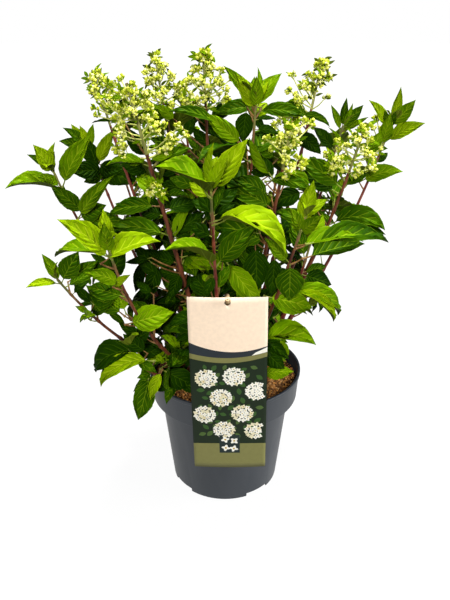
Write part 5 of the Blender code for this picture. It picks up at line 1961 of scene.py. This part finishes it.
line = [foot - UP * STUB_SUNK] + axis.line(STUB_STEPS) + nose.line(NOSE_STEPS)[1:]
shape = np.ones((len(line), STUB_SIDES))
for i, point in enumerate(line):
    shape[i] += [0.07 * noise.noise(Vector((j * 0.9, point.z * 300, point.y * 300)))
                 for j in range(STUB_SIDES)]
    shape[i] += KNOT_SWELLING * math.exp(-((point.z - KNOT_HEIGHT) / KNOT_REACH) ** 2)
radii = [STUB_RADIUS] * (len(line) - 3) + [share * STUB_RADIUS for share in (0.98, 0.95, 0.85)]
points, faces = limb(line, radii, STUB_SIDES, shape)
stub = Heap()
stub.add(points, faces, [BARK] * (len(faces) - 1) + [CUT_WOOD])
mesh = stub.mesh(50)
bm = bmesh.new()
bm.from_mesh(mesh)
end = [face for face in bm.faces if face.material_index == CUT_WOOD]
bmesh.ops.inset_region(bm, faces=end, thickness=0.5 * MM)
bmesh.ops.inset_region(bm, faces=end, thickness=0.7 * MM, depth=-0.2 * MM)
end[0].material_index = PITH
bm.to_mesh(mesh)
bm.free()
stub_finishes = [
    stem_finish("dry_stub_bark", (0.36, 0.24, 0.11), (0.66, 0.47, 0.26), 0.8),
    stem_finish("cut_wood", (0.5, 0.36, 0.2), (0.72, 0.58, 0.38), 0.8),
    stem_finish("pith", (0.2, 0.13, 0.07), (0.34, 0.24, 0.14), 0.9),
]
put_down("pruned_stub_wood", mesh, stub_finishes, "cut_wood", "pruned_stub")

# Setting
# A wide pale floor. The key light stands above and a little behind, with a low one in front, a
# wide one overhead and a broad one at the right. The camera is the one that the leaves in front
# were placed with, and it looks down on the plant as the photograph does.
FLOOR_HALF = 9.0
FLOOR_DROP = 0.2 * MM
WHITE = (1, 1, 1, 1)
floor_bm = bmesh.new()
bmesh.ops.create_grid(floor_bm, x_segments=1, y_segments=1, size=FLOOR_HALF)
bmesh.ops.translate(floor_bm, vec=(0, 0, -FLOOR_DROP), verts=floor_bm.verts)
floor = placed("floor", mesh_of(floor_bm))
white = finish("white_floor", (0.05, 0.05, 0.05), 0.9, 0)
shader_input(white, "Emission Color").default_value = WHITE
shader_input(white, "Emission Strength").default_value = 0.95
floor.data.materials.append(white)
floor.visible_diffuse = False


def wide_sun(name, way, strength, spread, colour=(1, 1, 1)):
    """A distant light that shines along this way, from a disc this many degrees wide."""
    lamp = bpy.data.lights.new("lamp", "SUN")
    lamp.energy = strength
    lamp.angle = math.radians(spread)
    lamp.color = colour
    placed(name, lamp).rotation_euler = Vector(way).to_track_quat("-Z", "Y").to_euler()


wide_sun("key", (-0.12, -0.22, -1), 6.3, 10, (1, 0.985, 0.95))
wide_sun("front", (0.12, 1, -0.42), 2.95, 14, (1, 0.99, 0.97))
wide_sun("overhead", (0.2, 0.1, -1), 0.4, 60)
wide_sun("side", (-1, 0.15, -0.5), 3.8, 40)
world = bpy.data.worlds.new("studio")
world.use_nodes = True
dim = world.node_tree.nodes["Background"]
dim.inputs["Strength"].default_value = 0.05
dim.inputs["Color"].default_value = WHITE
plain = add_node(world, "Background", Color=WHITE)
path = add_node(world, "LightPath")
blend = add_node(world, "MixShader", Fac=path.outputs["Is Camera Ray"])
links = world.node_tree.links
links.new(dim.outputs["Background"], blend.inputs[1])
links.new(plain.outputs["Background"], blend.inputs[2])
links.new(blend.outputs["Shader"], world.node_tree.nodes["World Output"].inputs["Surface"])
bpy.context.scene.world = world
bpy.context.scene.view_settings.view_transform = "Standard"
lens = bpy.data.cameras.new("lens")
lens.lens = CAMERA_LENS
lens.clip_start = 0.01
camera = placed("camera", lens)
camera.location = CAMERA_PLACE
camera.rotation_euler = (math.radians(90 - CAMERA_DIP), 0, 0)
bpy.context.scene.camera = camera
